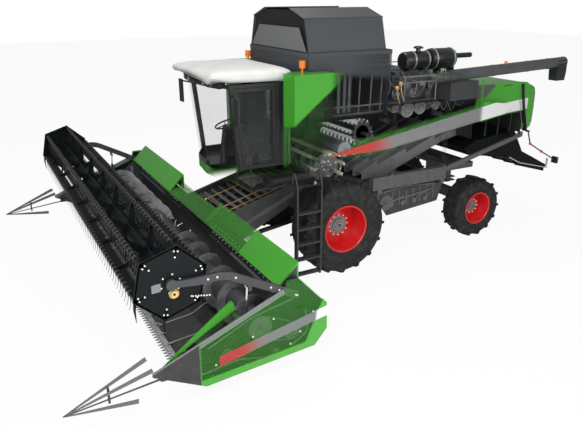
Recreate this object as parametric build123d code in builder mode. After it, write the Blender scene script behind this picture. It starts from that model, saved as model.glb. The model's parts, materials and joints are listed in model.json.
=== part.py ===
from build123d import *
import os
from math import atan2, cos, degrees, radians, sin, sqrt

# Combine harvester with its cutting header, parked with the header raised a little.
# Millimetres. Y is measured from the front axle to the machine's rear, X to its left, Z up from the ground.

# Reach and wheels
front_reach = 5290  # front axle to the long dividers' points
rear_reach = 5970  # front axle to the rear of the lamp bracket
front_axle_y = (front_reach - rear_reach) / 2  # sets the origin at the middle of the whole length
wheelbase = 3445
fit = 0.5  # clearance of a turning fit on its radius
gap = 8  # clearance between pieces that move past each other

front_tyre_radius = 880
front_tyre_width = 632
front_rim_radius = 420
front_track_half = 1330
front_spindle_radius = 90
rear_tyre_radius = 631
rear_tyre_width = 500
rear_rim_radius = 318
rear_track_half = 1190
rear_spindle_radius = 60
rim_wall = 14
rim_flange = 26
bead_inset = 40  # the tyre's foot is narrower than its tread by this on each side
tyre_facets = 30  # flats round a tyre
lug_slant = 35  # degrees between a lug and the wheel's axle
lug_root = 110  # depth of a lug from its top to its foot inside the tyre
shoulder = 50

# Axles and chassis
front_beam_half = 820
front_beam_depth = 130
front_beam_low = 750
front_beam_top = 1010
final_drive_radius = 200
final_drive_reach = 1090
rear_beam_half = 760
rear_beam_depth = 100
rear_beam_low = 660
rear_beam_top = 840
kingpin_x = 860
kingpin_radius = 40
kingpin_boss = 85
rail_outer = 700
rail_inner = 600
rail_low = 1300
rail_top = 1420
rail_front = -130
rail_rear = 3900
beam_outer = 1300
beam_inner = 1180
beam_low = 1380
beam_top = 1630
beam_front = 790
beam_rear = 2580
strut_size = 90
carrier_inner = 860  # arms that carry the cab
carrier_outer = 940
hitch_hole_radius = 16.5
hitch_plate = 20
hitch_gap = 60
hitch_z = 850

# Body
body_half = 1300  # outside of the hood and the frame
panel_half = 1470  # outside of the side panels
panel_thick = 30
wall_half = 830  # outside of the threshing body's walls
wall_thick = 30
wall_top = 2750
works_half = 770  # what turns and shakes between the walls
hood_front = 3190
hood_skin = 30
corner_front = -1030
corner_rear = -50
corner_top = 3640
corner_low = 2060
corner_inner = 1000

# Grain tank
tank_half = 1150
tank_front = -540
tank_rear = 1170
tank_top = 3940
tank_wall = 40
eaves_half = 974
eaves_z = 4480
flap_half = 474
flap_z = 4640
extension_front = -530
extension_rear = 1050
extension_wall = 20

# Turning works
drum_y = 210
drum_z = 1780
drum_radius = 300
beater_y = 620
beater_z = 2050
beater_radius = 160
separator_y = 1020
separator_z = 2330
separator_radius = 280
shaft_radius = 35

# Cab
cab_half = 930
cab_front = -1740
cab_nose = -2010
cab_rear = -760
cab_low = 1800
cab_floor = 1960
cab_sill = 2040
cab_eaves = 3480
roof_top = 3740
roof_half = 990
glass_thick = 12
post_width = 70
door_gap = 6
middle_post = -1050  # the near side's post between the door and the rear side window
hinge_radius = 12

# Platform and ladder
platform_outer = 1600
platform_top = 1900
platform_thick = 40
ladder_x = 1715
ladder_width = 470
ladder_front = -1090
ladder_low = 220

# Header
header_half = 3850
end_sheet = 20
wall_x = header_half - 190  # outside of the trough's end walls
trough_sheet = 20
back_y = -2280
knife_y = -3750
auger_y = -2780
auger_z = 800
auger_radius = 300
auger_tube = 170
reel_y = -3900
reel_z = 1690
reel_half = header_half - 90
reel_hexagon = 484
reel_bar_circle = 440
reel_bar_radius = 20
reel_tube = 130
reel_first_angle = 77.5
tine_reach = 230  # from a bar's middle to its tines' tips
tine_half = header_half - 350
tine_pitch = 125
tine_size = 8
guard_reach = 95
guard_pitch = 76.25
arm_x = header_half - 55
arm_width = 50
arm_height = 110
arm_pivot_y = -2260
arm_pivot_z = 1160
lift_y = -250
lift_z = 1600
lift_pin = 30
feeder_half = 790
feeder_wall = 30
arm_pin = 20
feeder_rear = -190

# Cylinders: where their feet and their rods' eyes stand, and the lugs that hold their pins
lift_cylinder_x = 475
lift_foot_y = -200
lift_foot_z = 800
lift_eye_y = -1600
lift_eye_z = 600
reel_cylinder_x = header_half - 135
reel_foot_y = -2950
reel_foot_z = 800
reel_eye_y = -2905
reel_eye_z = 1400
lug_reach = 50
lug_plate = 20
eye_play = 7  # a rod's eye drifts a little round its pin as the linkage moves

# Unloading tube and air system
unload_x = 1285
unload_y = 1480
unload_z = 3480
unload_radius = 150
unload_reach = 5640
unload_rise = 0.036


def at(x, y, z):
    """A point, from its distances to the front axle, the middle and the ground."""
    return Vector(x, front_axle_y + y, z)


def side_plane(x):
    return Plane(origin=at(x, 0, 0), x_dir=(0, 1, 0), z_dir=(1, 0, 0))


def front_plane(y):
    return Plane(origin=at(0, y, 0), x_dir=(1, 0, 0), z_dir=(0, -1, 0))


def level_plane(z):
    return Plane(origin=at(0, 0, z))


def side_plate(points, x_from, x_to, mode=Mode.ADD):
    """A flat piece seen from the side: its (y, z) outline, from one X to another."""
    with BuildSketch(side_plane(x_from)) as outline:
        with BuildLine():
            Polyline(*points, close=True)
        make_face()
    extrude(outline.sketch, amount=x_to - x_from, mode=mode)


def front_plate(points, y_from, y_to, mode=Mode.ADD):
    """A flat piece seen from the front: its (x, z) outline, from one Y to another."""
    with BuildSketch(front_plane(y_from)) as outline:
        with BuildLine():
            Polyline(*points, close=True)
        make_face()
    extrude(outline.sketch, amount=y_from - y_to, mode=mode)


def level_plate(points, z_from, z_to, mode=Mode.ADD):
    """A flat piece seen from above: its (x, y) outline, from one Z to another."""
    with BuildSketch(level_plane(z_from)) as outline:
        with BuildLine():
            Polyline(*points, close=True)
        make_face()
    extrude(outline.sketch, amount=z_to - z_from, mode=mode)


def panel(points, thickness, mode=Mode.ADD):
    """A flat piece at any slant: corners in one plane, thickened to the side they turn about."""
    corners = [at(*point) for point in points]
    edge = corners[1] - corners[0]
    plane = Plane(origin=corners[0], x_dir=edge, z_dir=edge.cross(corners[2] - corners[0]))
    with BuildSketch(plane) as outline:
        with BuildLine():
            Polyline(*[plane.to_local_coords(corner) for corner in corners], close=True)
        make_face()
    extrude(outline.sketch, amount=thickness, mode=mode)


def block(x, y, z, mode=Mode.ADD):
    """A box, from its two ends along X, Y and Z."""
    with Locations(at((x[0] + x[1]) / 2, (y[0] + y[1]) / 2, (z[0] + z[1]) / 2)):
        Box(abs(x[1] - x[0]), abs(y[1] - y[0]), abs(z[1] - z[0]), mode=mode)


def section_plane(start, end):
    run = end - start
    across = Vector(0, 0, 1).cross(run)
    if across.length < 1:
        across = Vector(1, 0, 0)
    return Plane(origin=start, x_dir=across, z_dir=run)


def bar(start, end, width, height, mode=Mode.ADD):
    """A straight bar of level width between two points."""
    start, end = at(*start), at(*end)
    with BuildSketch(section_plane(start, end)) as section:
        Rectangle(width, height)
    extrude(section.sketch, amount=(end - start).length, mode=mode)


def rod(start, end, radius, mode=Mode.ADD):
    """A straight round rod between two points."""
    start, end = at(*start), at(*end)
    with BuildSketch(section_plane(start, end)) as section:
        Circle(radius)
    extrude(section.sketch, amount=(end - start).length, mode=mode)


def disc(x_from, x_to, y, z, radius, mode=Mode.ADD):
    """A round piece lying along X."""
    rod((x_from, y, z), (x_to, y, z), radius, mode)


def bent_rod(points, radius, bend):
    """A round rod through a line of points, its corners rounded."""
    with BuildLine() as path:
        FilletPolyline(*[at(*point) for point in points], radius=bend)
    with BuildSketch(Plane(origin=path.line @ 0, z_dir=path.line % 0)) as section:
        Circle(radius)
    sweep(section.sketch, path=path.line)


def turned(profile, x, y, z, mode=Mode.ADD):
    """A (distance along X, radius) profile turned about the line along X through a point."""
    plane = Plane(origin=at(x, y, z), x_dir=(1, 0, 0), z_dir=(0, -1, 0))
    with BuildSketch(plane) as outline:
        with BuildLine():
            Polyline(*profile, close=True)
        make_face()
    revolve(outline.sketch, axis=Axis(at(x, y, z), (1, 0, 0)), mode=mode)


def bent_sheet(line, thickness):
    """The outline of a bent sheet: its line of bends and that line moved over to its left."""
    line = [Vector(*point) for point in line]
    normals = []
    for here, there in zip(line, line[1:]):
        run = (there - here).normalized()
        normals.append(Vector(-run.Y, run.X))
    moved = []
    for place, point in enumerate(line):
        before = normals[max(place - 1, 0)]
        after = normals[min(place, len(normals) - 1)]
        moved.append(point + (before + after) * (thickness / (1 + before.dot(after))))
    return [(p.X, p.Y) for p in line] + [(p.X, p.Y) for p in reversed(moved)]


def keep(piece, name):
    """Labels a finished piece and writes it under its name."""
    piece.part.label = name
    export_step(piece.part, f"parts/{name}.step")


os.makedirs("parts", exist_ok=True)
sides = (("left", 1), ("right", -1))

# Wheels: a tyre steps out from its foot to its sidewall, slanting lugs meet along its middle, and the rim's
# barrel carries a disc and a hub
wheel_sizes = {
    # end: (y, centre x, radius to the lugs' tops, tyre width, rim radius, spindle radius, disc x, lug
    # height, lug
    # width, lugs on each side)
    "front": (
        0, front_track_half, front_tyre_radius, front_tyre_width, front_rim_radius, front_spindle_radius, 1290,
        42, 56, 16,
    ),
    "rear": (
        wheelbase, rear_track_half, rear_tyre_radius, rear_tyre_width, rear_rim_radius, rear_spindle_radius, 1170,
        34, 44, 14,
    ),
}
for end, (y, centre, radius, width, rim, spindle, disc_x, lug_height, lug_width,
    lugs) in wheel_sizes.items():
    half = width / 2
    foot = half - bead_inset
    tread = radius - lug_height
    wall = tread - rim
    carcass = [
        (-foot, rim + rim_flange + 6), (-half, rim + wall * 0.4), (-half + 10, tread - wall * 0.25),
        (-half + shoulder, tread), (half - shoulder, tread), (half - 10, tread - wall * 0.25), (half,
        rim + wall * 0.4),
        (foot, rim + rim_flange + 6),
    ]
    slant_cos = cos(radians(lug_slant))
    slant_sin = sin(radians(lug_slant))
    lug_length = (half - shoulder + 10 - lug_width * slant_sin) / slant_cos
    corner_aside = (lug_length * slant_sin + lug_width * slant_cos) / 2
    lug_top = sqrt(radius**2 - corner_aside**2)  # the flat top's far corners reach the full radius
    corner_turn = degrees(atan2(corner_aside, lug_top))
    for side_name, side in sides:
        with BuildPart() as tyre:
            for x, reach in carcass:
                with BuildSketch(side_plane(side * centre + x)):
                    with Locations((y, radius)):
                        RegularPolygon(reach, tyre_facets)
            loft(ruled=True)
            with BuildSketch(side_plane(side * centre - half)) as bore:
                with Locations((y, radius)):
                    RegularPolygon(rim, tyre_facets, major_radius=False)
            extrude(bore.sketch, amount=width, mode=Mode.SUBTRACT)
            places = []
            for row, shift in ((1, 0), (-1, 0.5)):
                for place in range(lugs):
                    turn = radians(270 - corner_turn + 360 / lugs * (place + shift))
                    out = Vector(0, cos(turn), sin(turn))
                    round_it = Vector(0, -sin(turn), cos(turn))
                    middle = at(side * centre + row * (half - shoulder - 14) / 2, y,
                        radius) + out * (lug_top - lug_root / 2)
                    along = Vector(row * slant_cos, 0, 0) - round_it * slant_sin
                    places.append(Plane(origin=middle, x_dir=along, z_dir=out))
            with Locations(*places):
                Box(lug_length, lug_width, lug_root)
        keep(tyre, f"tyre_{end}_{side_name}")
        with BuildPart() as wheel_rim:
            turned(
                [
                    (-foot - rim_wall, rim + rim_flange), (-foot - rim_wall, rim - rim_wall),
                    (foot + rim_wall, rim - rim_wall), (foot + rim_wall, rim + rim_flange),
                    (foot, rim + rim_flange), (foot, rim), (-foot, rim), (-foot, rim + rim_flange),
                ],
                side * centre, y, radius,
            )
            disc(side * disc_x, side * (disc_x + rim_wall), y, radius, rim - rim_wall)
            disc(side * (disc_x - 60), side * (disc_x + 60), y, radius, spindle * 1.8)
            disc(side * (disc_x - 60), side * (disc_x + 30), y, radius, spindle + fit, Mode.SUBTRACT)
        keep(wheel_rim, f"rim_{end}_{side_name}")
front_disc_x = wheel_sizes["front"][6]
rear_disc_x = wheel_sizes["rear"][6]

# Front axle: beam, final drives and the spindles that the front wheels turn on
with BuildPart() as front_axle:
    block((-front_beam_half, front_beam_half), (-front_beam_depth, front_beam_depth), (front_beam_low,
        front_beam_top))
    for _, side in sides:
        disc(side * (front_beam_half - 20), side * final_drive_reach, 0, front_tyre_radius,
            final_drive_radius)
        disc(side * final_drive_reach, side * front_disc_x, 0, front_tyre_radius, front_spindle_radius)
        for x in (lift_cylinder_x - lug_reach, lift_cylinder_x + lug_reach - lug_plate):
            block((side * x, side * (x + lug_plate)), (lift_foot_y - 40, -front_beam_depth), (760, 840))
        disc(side * (lift_cylinder_x - lug_reach), side * (lift_cylinder_x + lug_reach), lift_foot_y,
            lift_foot_z, 20)
keep(front_axle, "front_axle")

# Rear axle: beam with a boss at each end that a steered knuckle turns in
kingpin_z = (rear_beam_low + rear_beam_top) / 2
boss_half = 60
with BuildPart() as rear_axle:
    block(
        (-rear_beam_half, rear_beam_half),
        (wheelbase - rear_beam_depth, wheelbase + rear_beam_depth),
        (rear_beam_low, rear_beam_top),
    )
    for _, side in sides:
        rod(
            (side * kingpin_x, wheelbase, kingpin_z - boss_half),
            (side * kingpin_x, wheelbase, kingpin_z + boss_half),
            kingpin_boss,
        )
        block(
            (side * (rear_beam_half - 60), side * kingpin_x),
            (wheelbase - 60, wheelbase + 60),
            (kingpin_z - boss_half, kingpin_z + boss_half),
        )
        rod(
            (side * kingpin_x, wheelbase, kingpin_z - boss_half),
            (side * kingpin_x, wheelbase, kingpin_z + boss_half),
            kingpin_radius + fit,
            Mode.SUBTRACT,
        )
keep(rear_axle, "rear_axle")

for side_name, side in sides:
    fork_low = kingpin_z - boss_half - gap
    fork_top = kingpin_z + boss_half + gap
    with BuildPart() as knuckle:
        rod((side * kingpin_x, wheelbase, fork_low - 40), (side * kingpin_x, wheelbase, fork_top + 40),
            kingpin_radius)
        for low in (fork_low - 40, fork_top):
            rod((side * kingpin_x, wheelbase, low), (side * kingpin_x, wheelbase, low + 40), kingpin_boss)
            block((side * kingpin_x, side * 1000), (wheelbase - 70, wheelbase + 70), (low, low + 40))
        block(
            (side * (kingpin_x + kingpin_boss + gap), side * 1000),
            (wheelbase - 70, wheelbase + 70),
            (rear_tyre_radius - 80, fork_top + 40),
        )
        disc(side * 1000, side * rear_disc_x, wheelbase, rear_tyre_radius, rear_spindle_radius)
    keep(knuckle, f"knuckle_{side_name}")

# Chassis: two rails, side beams on cross members, axle brackets, slanting struts and the hitch
rear_bracket_half = 150
bracket_plate = 30
cross_low = rail_low
cross_top = rail_low + 80
with BuildPart() as chassis_frame:
    for _, side in sides:
        block((side * rail_inner, side * rail_outer), (rail_front, rail_rear), (rail_low, rail_top))
        block((side * beam_inner, side * beam_outer), (beam_front, beam_rear), (beam_low, beam_top))
        block(
            (side * rail_inner, side * rail_outer),
            (-front_beam_depth, front_beam_depth),
            (front_beam_top, rail_low),
        )
        bar((side * 1250, beam_rear - 30, 1560), (side * 1250, 4640, 2050), strut_size * 0.6, strut_size)
        block((side * 1225, side * body_half), (4560, 4640), (2020, 2112))
        block((side * rail_inner, side * carrier_outer), (rail_front, rail_front + 80), (rail_low, rail_top))
        block((side * carrier_inner, side * carrier_outer), (rail_front, rail_front + 80), (rail_low,
            cab_low))
        block((side * carrier_inner, side * carrier_outer), (-1300, rail_front), (cab_low - 80, cab_low))
    for y in (beam_front + 110, beam_rear - 130):
        block((-beam_outer, beam_outer), (y, y + 100), (cross_low, cross_top + 20))
    block((-rail_inner, rail_inner), (rail_rear - 120, rail_rear), (rail_low, rail_top))
    for low in (wheelbase - rear_beam_depth - bracket_plate, wheelbase + rear_beam_depth):
        block((-rear_bracket_half, rear_bracket_half), (low, low + bracket_plate), (rear_beam_low,
            cross_top))
        block((-rail_inner, rail_inner), (low, low + bracket_plate), (cross_low, cross_top))
    bar((0, rail_rear - 60, rail_low), (0, rail_rear - 60, hitch_z - 60), 120, 120)
    for low in (hitch_z - hitch_gap / 2 - hitch_plate, hitch_z + hitch_gap / 2):
        block((-60, 60), (rail_rear - 60, rail_rear + 140), (low, low + hitch_plate))
        rod(
            (0, rail_rear + 90, low - 1),
            (0, rail_rear + 90, low + hitch_plate + 1),
            hitch_hole_radius,
            Mode.SUBTRACT,
        )
keep(chassis_frame, "chassis_frame")

# Threshing body's walls: a plate on the right; on the left an open frame with one bar through the three
# shafts
wall_outline = [
    (-330, 1480), (-100, rail_top), (2560, rail_top), (2560, 1640), (2250, 1770), (2890, 1990), (3160, 2060),
    (3160, wall_top), (-100, wall_top), (-330, 1760),
]
wall_opening = [
    (-40, 1480), (2500, 1480), (2500, 1600), (2110, 1770), (2870, 2050), (3100, 2110), (3100, 2690), (-40,
    2690),
]
shafts = ((drum_y, drum_z), (beater_y, beater_z), (separator_y, separator_z))
with BuildPart() as body_walls:
    for _, side in sides:
        wall_in = side * (wall_half - wall_thick)
        wall_out = side * wall_half
        side_plate(wall_outline, wall_in, wall_out)
        if side > 0:
            side_plate(wall_opening, wall_in, wall_out, Mode.SUBTRACT)
            side_plate([(-80, 1540), (-80, 1630), (1350, 2600), (1430, 2700), (1500, 2700)], wall_in,
                wall_out)
            for y, z in shafts:
                disc(wall_in, wall_out, y, z, 85)
        for y, z in shafts:
            disc(wall_in, wall_out, y, z, shaft_radius + fit, Mode.SUBTRACT)
        disc(wall_in, wall_out, lift_y, lift_z, lift_pin + fit, Mode.SUBTRACT)
keep(body_walls, "body_walls")

# Works between the walls
drum_bars = 8
with BuildPart() as threshing_drum:
    disc(-wall_half - 60, wall_half + 60, drum_y, drum_z, shaft_radius)
    for x in (-works_half, -260, 230, works_half - 30):
        disc(x, x + 30, drum_y, drum_z, drum_radius - 40)
    for place in range(drum_bars):
        turn = radians(360 / drum_bars * place)
        y = drum_y + (drum_radius - 45) * cos(turn)
        z = drum_z + (drum_radius - 45) * sin(turn)
        disc(-works_half, works_half, y, z, 40)
keep(threshing_drum, "threshing_drum")

with BuildPart() as beater:
    disc(-wall_half - 60, wall_half + 60, beater_y, beater_z, shaft_radius)
    disc(-works_half, works_half, beater_y, beater_z, 80)
    for turn in (0, 90):
        along = Vector(0, cos(radians(turn)), sin(radians(turn))) * (beater_radius - 5)
        bar(
            (0, beater_y - along.Y, beater_z - along.Z), (0, beater_y + along.Y, beater_z + along.Z),
            2 * works_half, 16,
        )
keep(beater, "beater")

spike_rows = 6
spikes_per_row = 9
with BuildPart() as separator:
    disc(-wall_half - 60, wall_half + 60, separator_y, separator_z, shaft_radius)
    disc(-works_half, works_half, separator_y, separator_z, 150)
    for row in range(spike_rows):
        turn = radians(360 / spike_rows * row + 30)
        for place in range(spikes_per_row):
            x = -works_half + 60 + (2 * works_half - 120) / (spikes_per_row - 1) * place
            bar(
                (x, separator_y + 140 * cos(turn), separator_z + 140 * sin(turn)),
                (x, separator_y + separator_radius * cos(turn), separator_z + separator_radius * sin(turn)),
                12, 40,
            )
keep(separator, "separator")

# Concave: a cage round the drum's lower half
with BuildPart() as concave:
    with BuildSketch(side_plane(-works_half)) as arc_outline:
        with Locations((drum_y, drum_z)):
            Circle(drum_radius + 60)
            Circle(drum_radius + 20, mode=Mode.SUBTRACT)
        with Locations((drum_y - 60, drum_z + 260)):
            Rectangle(900, 620, mode=Mode.SUBTRACT)
    extrude(arc_outline.sketch, amount=2 * works_half)
    for x in (-wall_half + wall_thick, works_half):
        block((x, x + wall_half - wall_thick - works_half), (drum_y - 40, drum_y + 40),
              (drum_z - drum_radius - 60, drum_z - drum_radius - 20))
keep(concave, "concave")

# Straw walkers: five long stepped troughs side by side
walker_count = 5
walker_gap = 12
tooth_pitch = 120
tooth_height = 30


def saw_teeth(start, end):
    """A falling line of saw teeth whose tips lie on the line from one (y, z) point to another."""
    run = Vector(end[0] - start[0], end[1] - start[1])
    count = round(run.length / tooth_pitch)
    teeth = []
    for place in range(count):
        tip = Vector(*start) + run * (place / count)
        root = tip + run * (0.9 / count)
        teeth += [(tip.X, tip.Y), (root.X, root.Y - tooth_height)]
    return teeth


walker_profile = [
    (900, 1450), (1410, 1450), (2890, 2000), (3700, 2170), (3700, 2300),
    (3390, 2230), *saw_teeth((3390, 2330), (2690, 2080)),
    (2690, 2080), *saw_teeth((2690, 2170), (1960, 1880)),
    (1960, 1880), *saw_teeth((1960, 1980), (1260, 1720)),
    (1260, 1720), (1260, 1800), (900, 1640),
]
walker_pitch = 2 * works_half / walker_count
with BuildPart() as straw_walkers:
    for place in range(walker_count):
        low = -works_half + walker_pitch * place
        side_plate(walker_profile, low, low + walker_pitch - walker_gap)
    disc(-wall_half + wall_thick, wall_half - wall_thick, 1200, 1530, 30)
    disc(-wall_half + wall_thick, wall_half - wall_thick, 2850, 2060, 30)
keep(straw_walkers, "straw_walkers")

# Cleaning shoe below the walkers
shoe_outline = [(700, 900), (1200, 820), (2440, 900), (2440, cross_low), (700, cross_low)]
with BuildPart() as cleaning_shoe:
    side_plate(shoe_outline, -rail_inner, rail_inner)
keep(cleaning_shoe, "cleaning_shoe")

with BuildPart() as lower_panels:
    for _, side in sides:
        side_plate(
            [(930, 1180), (1190, 810), (2440, 920), (2560, cross_low), (830, cross_low)],
            side * (beam_inner + 40), side * (beam_inner + 60),
        )
keep(lower_panels, "lower_panels")

# Side panels, the left one shown see-through
side_panel_outline = [
    (corner_rear, 1950), (1700, 2170), (3700, 2420), (4000, 2780), (hood_front, 2900), (hood_front, 3300),
    (900, 3300), (corner_rear, 3560),
]
for side_name, side in sides:
    with BuildPart() as side_panel:
        side_plate(side_panel_outline, side * (panel_half - panel_thick), side * panel_half)
    keep(side_panel, f"side_panel_{side_name}")

# Corner panels: tall boxes behind the cab, each a front sheet, a side sheet and a top
with BuildPart() as corner_panels:
    for _, side in sides:
        level_plate(
            [
                (side * corner_inner, corner_front + 190), (side * (corner_inner + 170), corner_front),
                (side * (panel_half - panel_thick), corner_front + 60),
                (side * (panel_half - panel_thick), corner_rear), (side * tank_half, corner_rear),
                (side * tank_half, tank_front), (side * corner_inner, tank_front),
            ],
            corner_low, corner_top,
        )
        level_plate(
            [
                (side * (corner_inner + 30), corner_front + 205), (side * (corner_inner + 185),
                corner_front + 40),
                (side * (panel_half - 60), corner_front + 95), (side * (panel_half - 60), corner_rear + 1),
                (side * (tank_half + 30), corner_rear + 1), (side * (tank_half + 30), tank_front - 30),
                (side * (corner_inner + 30), tank_front - 30),
            ],
            corner_low - 1, corner_top - 30, Mode.SUBTRACT,
        )
keep(corner_panels, "corner_panels")

# Body frame: posts on the side beams, rails and cross ties, the engine deck and the unloading tube's turret
with BuildPart() as body_frame:
    for _, side in sides:
        for y in (beam_front + 400, beam_rear - 100):
            block((side * 1240, side * body_half), (y, y + 60), (beam_top, 2850))
        block((side * 1240, side * body_half), (tank_rear, hood_front), (2850, 2920))
        block((side * wall_half, side * 1240), (beam_front + 400, beam_front + 460), (2600, 2680))
        block((side * wall_half, side * 1240), (beam_rear - 100, beam_rear - 40), (2600, 2680))
        block((side * body_half, side * (panel_half - panel_thick)), (hood_front - 60, hood_front), (2850,
            2920))
        block((side * body_half, side * (panel_half - panel_thick)), (tank_rear + 20, tank_rear + 80),
            (2850, 2920))
        block((side * 1240, side * body_half), (hood_front - 60, hood_front), (2920, 3200))
    block((-body_half, body_half), (tank_rear, hood_front - 60), (2920, 2950))
    rod((unload_x - 10, unload_y, 2950), (unload_x - 10, unload_y, unload_z - unload_radius - 60), 130)
keep(body_frame, "body_frame")

# Engine: a block with its valve cover, manifold, sump rail, starter and pulley end, and the cooling unit
# beside it
engine_side = 760
engine_pulleys = (
    # y, z, radius
    (1620, 3070, 110), (1850, 3200, 70), (1750, 3320, 80), (2120, 3090, 130),
)
engine_fittings = (
    # x range, y range, z range
    ((-300, 380), (1560, 2290), (3400, 3470)),
    ((engine_side, 790), (1560, 2300), (2965, 3000)),
    ((engine_side, 800), (1930, 2010), (3290, 3380)),
    ((engine_side, 800), (2080, 2280), (3280, 3370)),
)
with BuildPart() as engine:
    block((-350, engine_side), (1500, 2350), (2950, 3400))
    for y, z, radius in engine_pulleys:
        disc(engine_side, 800, y, z, radius * 0.5)
        disc(800, 815, y, z, radius)
    for x_range, y_range, z_range in engine_fittings:
        block(x_range, y_range, z_range)
    for y in (1640, 1790, 1940, 2090, 2240):
        rod((380, y, 3380), (440, y, 3440), 24)
    rod((440, 1600, 3440), (440, 2290, 3440), 34)
keep(engine, "engine")

with BuildPart() as deck_housings:
    block((-body_half + 60, -450), (1400, 2700), (2950, 3360))
    block((850, 1380), (2420, 3120), (2950, 3290))
    block((880, 1350), (2450, 3150), (2980, 3260), Mode.SUBTRACT)
keep(deck_housings, "deck_housings")

# Grain tank: an open box, its floor sloped to the auger trough
with BuildPart() as grain_tank:
    block((-tank_half, tank_half), (tank_front, tank_rear), (wall_top, tank_top))
    block(
        (-tank_half + tank_wall, tank_half - tank_wall),
        (tank_front + tank_wall, tank_rear - tank_wall),
        (wall_top + tank_wall, tank_top + 1),
        Mode.SUBTRACT,
    )
keep(grain_tank, "grain_tank")

# Tank extension: leaning side walls, gables with a lower plate before the front one, and a flap along
# each eave
wall_foot = tank_half - 30
gable_foot = wall_foot - extension_wall
gable_eaves = eaves_half - extension_wall
with BuildPart() as tank_extension:
    for _, side in sides:
        front_plate(
            [
                (side * wall_foot, tank_top), (side * eaves_half, eaves_z),
                (side * gable_eaves, eaves_z), (side * gable_foot, tank_top),
            ],
            extension_front, extension_rear,
        )
    for y in (extension_front + 20, extension_rear - 40):
        front_plate(
            [
                (-gable_foot, tank_top), (gable_foot, tank_top), (gable_eaves, eaves_z),
                (flap_half - 20, flap_z - 40), (-flap_half + 20, flap_z - 40), (-gable_eaves, eaves_z),
            ],
            y, y + extension_wall,
        )
    front_plate(
        [(-gable_foot + 40, tank_top), (gable_foot - 40, tank_top), (800, 4330), (-720, 4330)],
        extension_front, extension_front + 20,
    )
keep(tank_extension, "tank_extension")
with BuildPart() as tank_flaps:
    for _, side in sides:
        front_plate(
            [
                (side * (eaves_half + 8), eaves_z), (side * flap_half, flap_z),
                (side * flap_half, flap_z - 18), (side * (eaves_half - 12), eaves_z),
            ],
            extension_front - 20, extension_rear + 20,
        )
keep(tank_flaps, "tank_flaps")

# Beacons on short stems
with BuildPart() as beacons:
    for x, y in ((1060, tank_front - 75), (-1110, tank_front - 75)):
        rod((x, y, corner_top), (x, y, corner_top + 60), 20)
        rod((x, y, corner_top + 60), (x, y, corner_top + 180), 55)
keep(beacons, "beacons")

# Rear hood: side sheets, a top and a front flange, then the rounded end cap
hood_outline = [(hood_front, 2010), (4660, 2120), (4660, 3110), (4570, 3160), (4350, 3180), (hood_front,
    3200)]
with BuildPart() as rear_hood:
    for _, side in sides:
        side_plate(hood_outline, side * (body_half - hood_skin), side * body_half)
    side_plate(
        [(4600, 3140), (4350, 3160), (hood_front, 3180), (hood_front, 3150), (4350, 3130), (4600, 3110)],
        -body_half + hood_skin, body_half - hood_skin,
    )
keep(rear_hood, "rear_hood")

cap_sections = (
    # y, half width, low z, top z
    (4660, 1290, 2110, 3110),
    (4960, 1200, 2090, 3050),
    (5140, 960, 2440, 2800),
)
with BuildPart() as end_cap:
    for y, half, low, top in cap_sections:
        with BuildSketch(front_plane(y)):
            with BuildLine():
                Polyline((-half, low), (half, low), (half, top), (-half, top), close=True)
            make_face()
    loft(ruled=True)
    for y, half, low, top in cap_sections:
        with BuildSketch(front_plane(y - 40)):
            with BuildLine():
                Polyline((-half + 30, low + 30), (half - 30, low + 30), (half - 30, top - 30), (-half + 30,
                    top - 30),
                         close=True)
            make_face()
    loft(ruled=True, mode=Mode.SUBTRACT)
keep(end_cap, "end_cap")

# Straw chopper under the hood, its spreader tray and the lamp bracket on thin bent rods
with BuildPart() as straw_chopper:
    side_plate(
        [(3540, 1990), (3260, 1860), (3400, 1700), (4300, 1560), (4540, 1560), (4980, 1600), (4660, 2110)],
        -1050, 1050,
    )
    side_plate(
        [(3700, 1940), (3560, 1850), (4300, 1680), (4660, 1690), (4560, 2000)],
        -1010, 1010, Mode.SUBTRACT,
    )
    block((-1010, 1010), (4000, 4500), (1500, 1750), Mode.SUBTRACT)
    disc(-1010, 1010, 4250, 1800, 110)
    for _, side in sides:
        side_plate([(4250, 2045), (4400, 2052), (4400, 2100), (4250, 2089)], side * 1050, side * body_half)
keep(straw_chopper, "straw_chopper")

with BuildPart() as spreader:
    side_plate([(4540, 1560), (4980, 1600), (5900, 1150), (5900, 1090), (4960, 1300), (4560, 1500)], -1040,
        1040)
    for x in (-1010, -690, -350, -10, 330, 670, 990):
        side_plate([(4700, 1520), (5850, 1100), (5850, 1010), (4880, 1280)], x, x + 12)
keep(spreader, "spreader")

with BuildPart() as lamp_bracket:
    for _, side in sides:
        bent_rod(
            [(side * 1180, 4935, 2080), (side * 1180, 5060, 1780), (side * 1190, 5450, 1560),
             (side * 1190, rear_reach - 60, 1320)],
            14, 60,
        )
        block((side * 1120, side * 1260), (rear_reach - 60, rear_reach), (1240, 1380))
        block((side * 1150, side * 1210), (4900, 4960), (2060, 2090))
keep(lamp_bracket, "lamp_bracket")

# Air cleaner and silencer on cradles above the deck
with BuildPart() as air_system:
    rod((600, 1790, 3650), (600, 2520, 3650), 170)
    rod((600, 2180, 3650), (600, 2180, 3890), 45)
    rod((600, 2180, 3890), (600, 2180, 3920), 95)
    for y in (1950, 2300):
        block((520, 680), (y, y + 60), (3400, 3520))
    rod((600, 2560, 3655), (600, 3330, 3655), 200)
    rod((600, 3330, 3690), (600, 3660, 3690), 50)
    for y in (2700, 3050):
        block((520, 680), (y, y + 60), (3350, 3500))
keep(air_system, "air_system")

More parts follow.
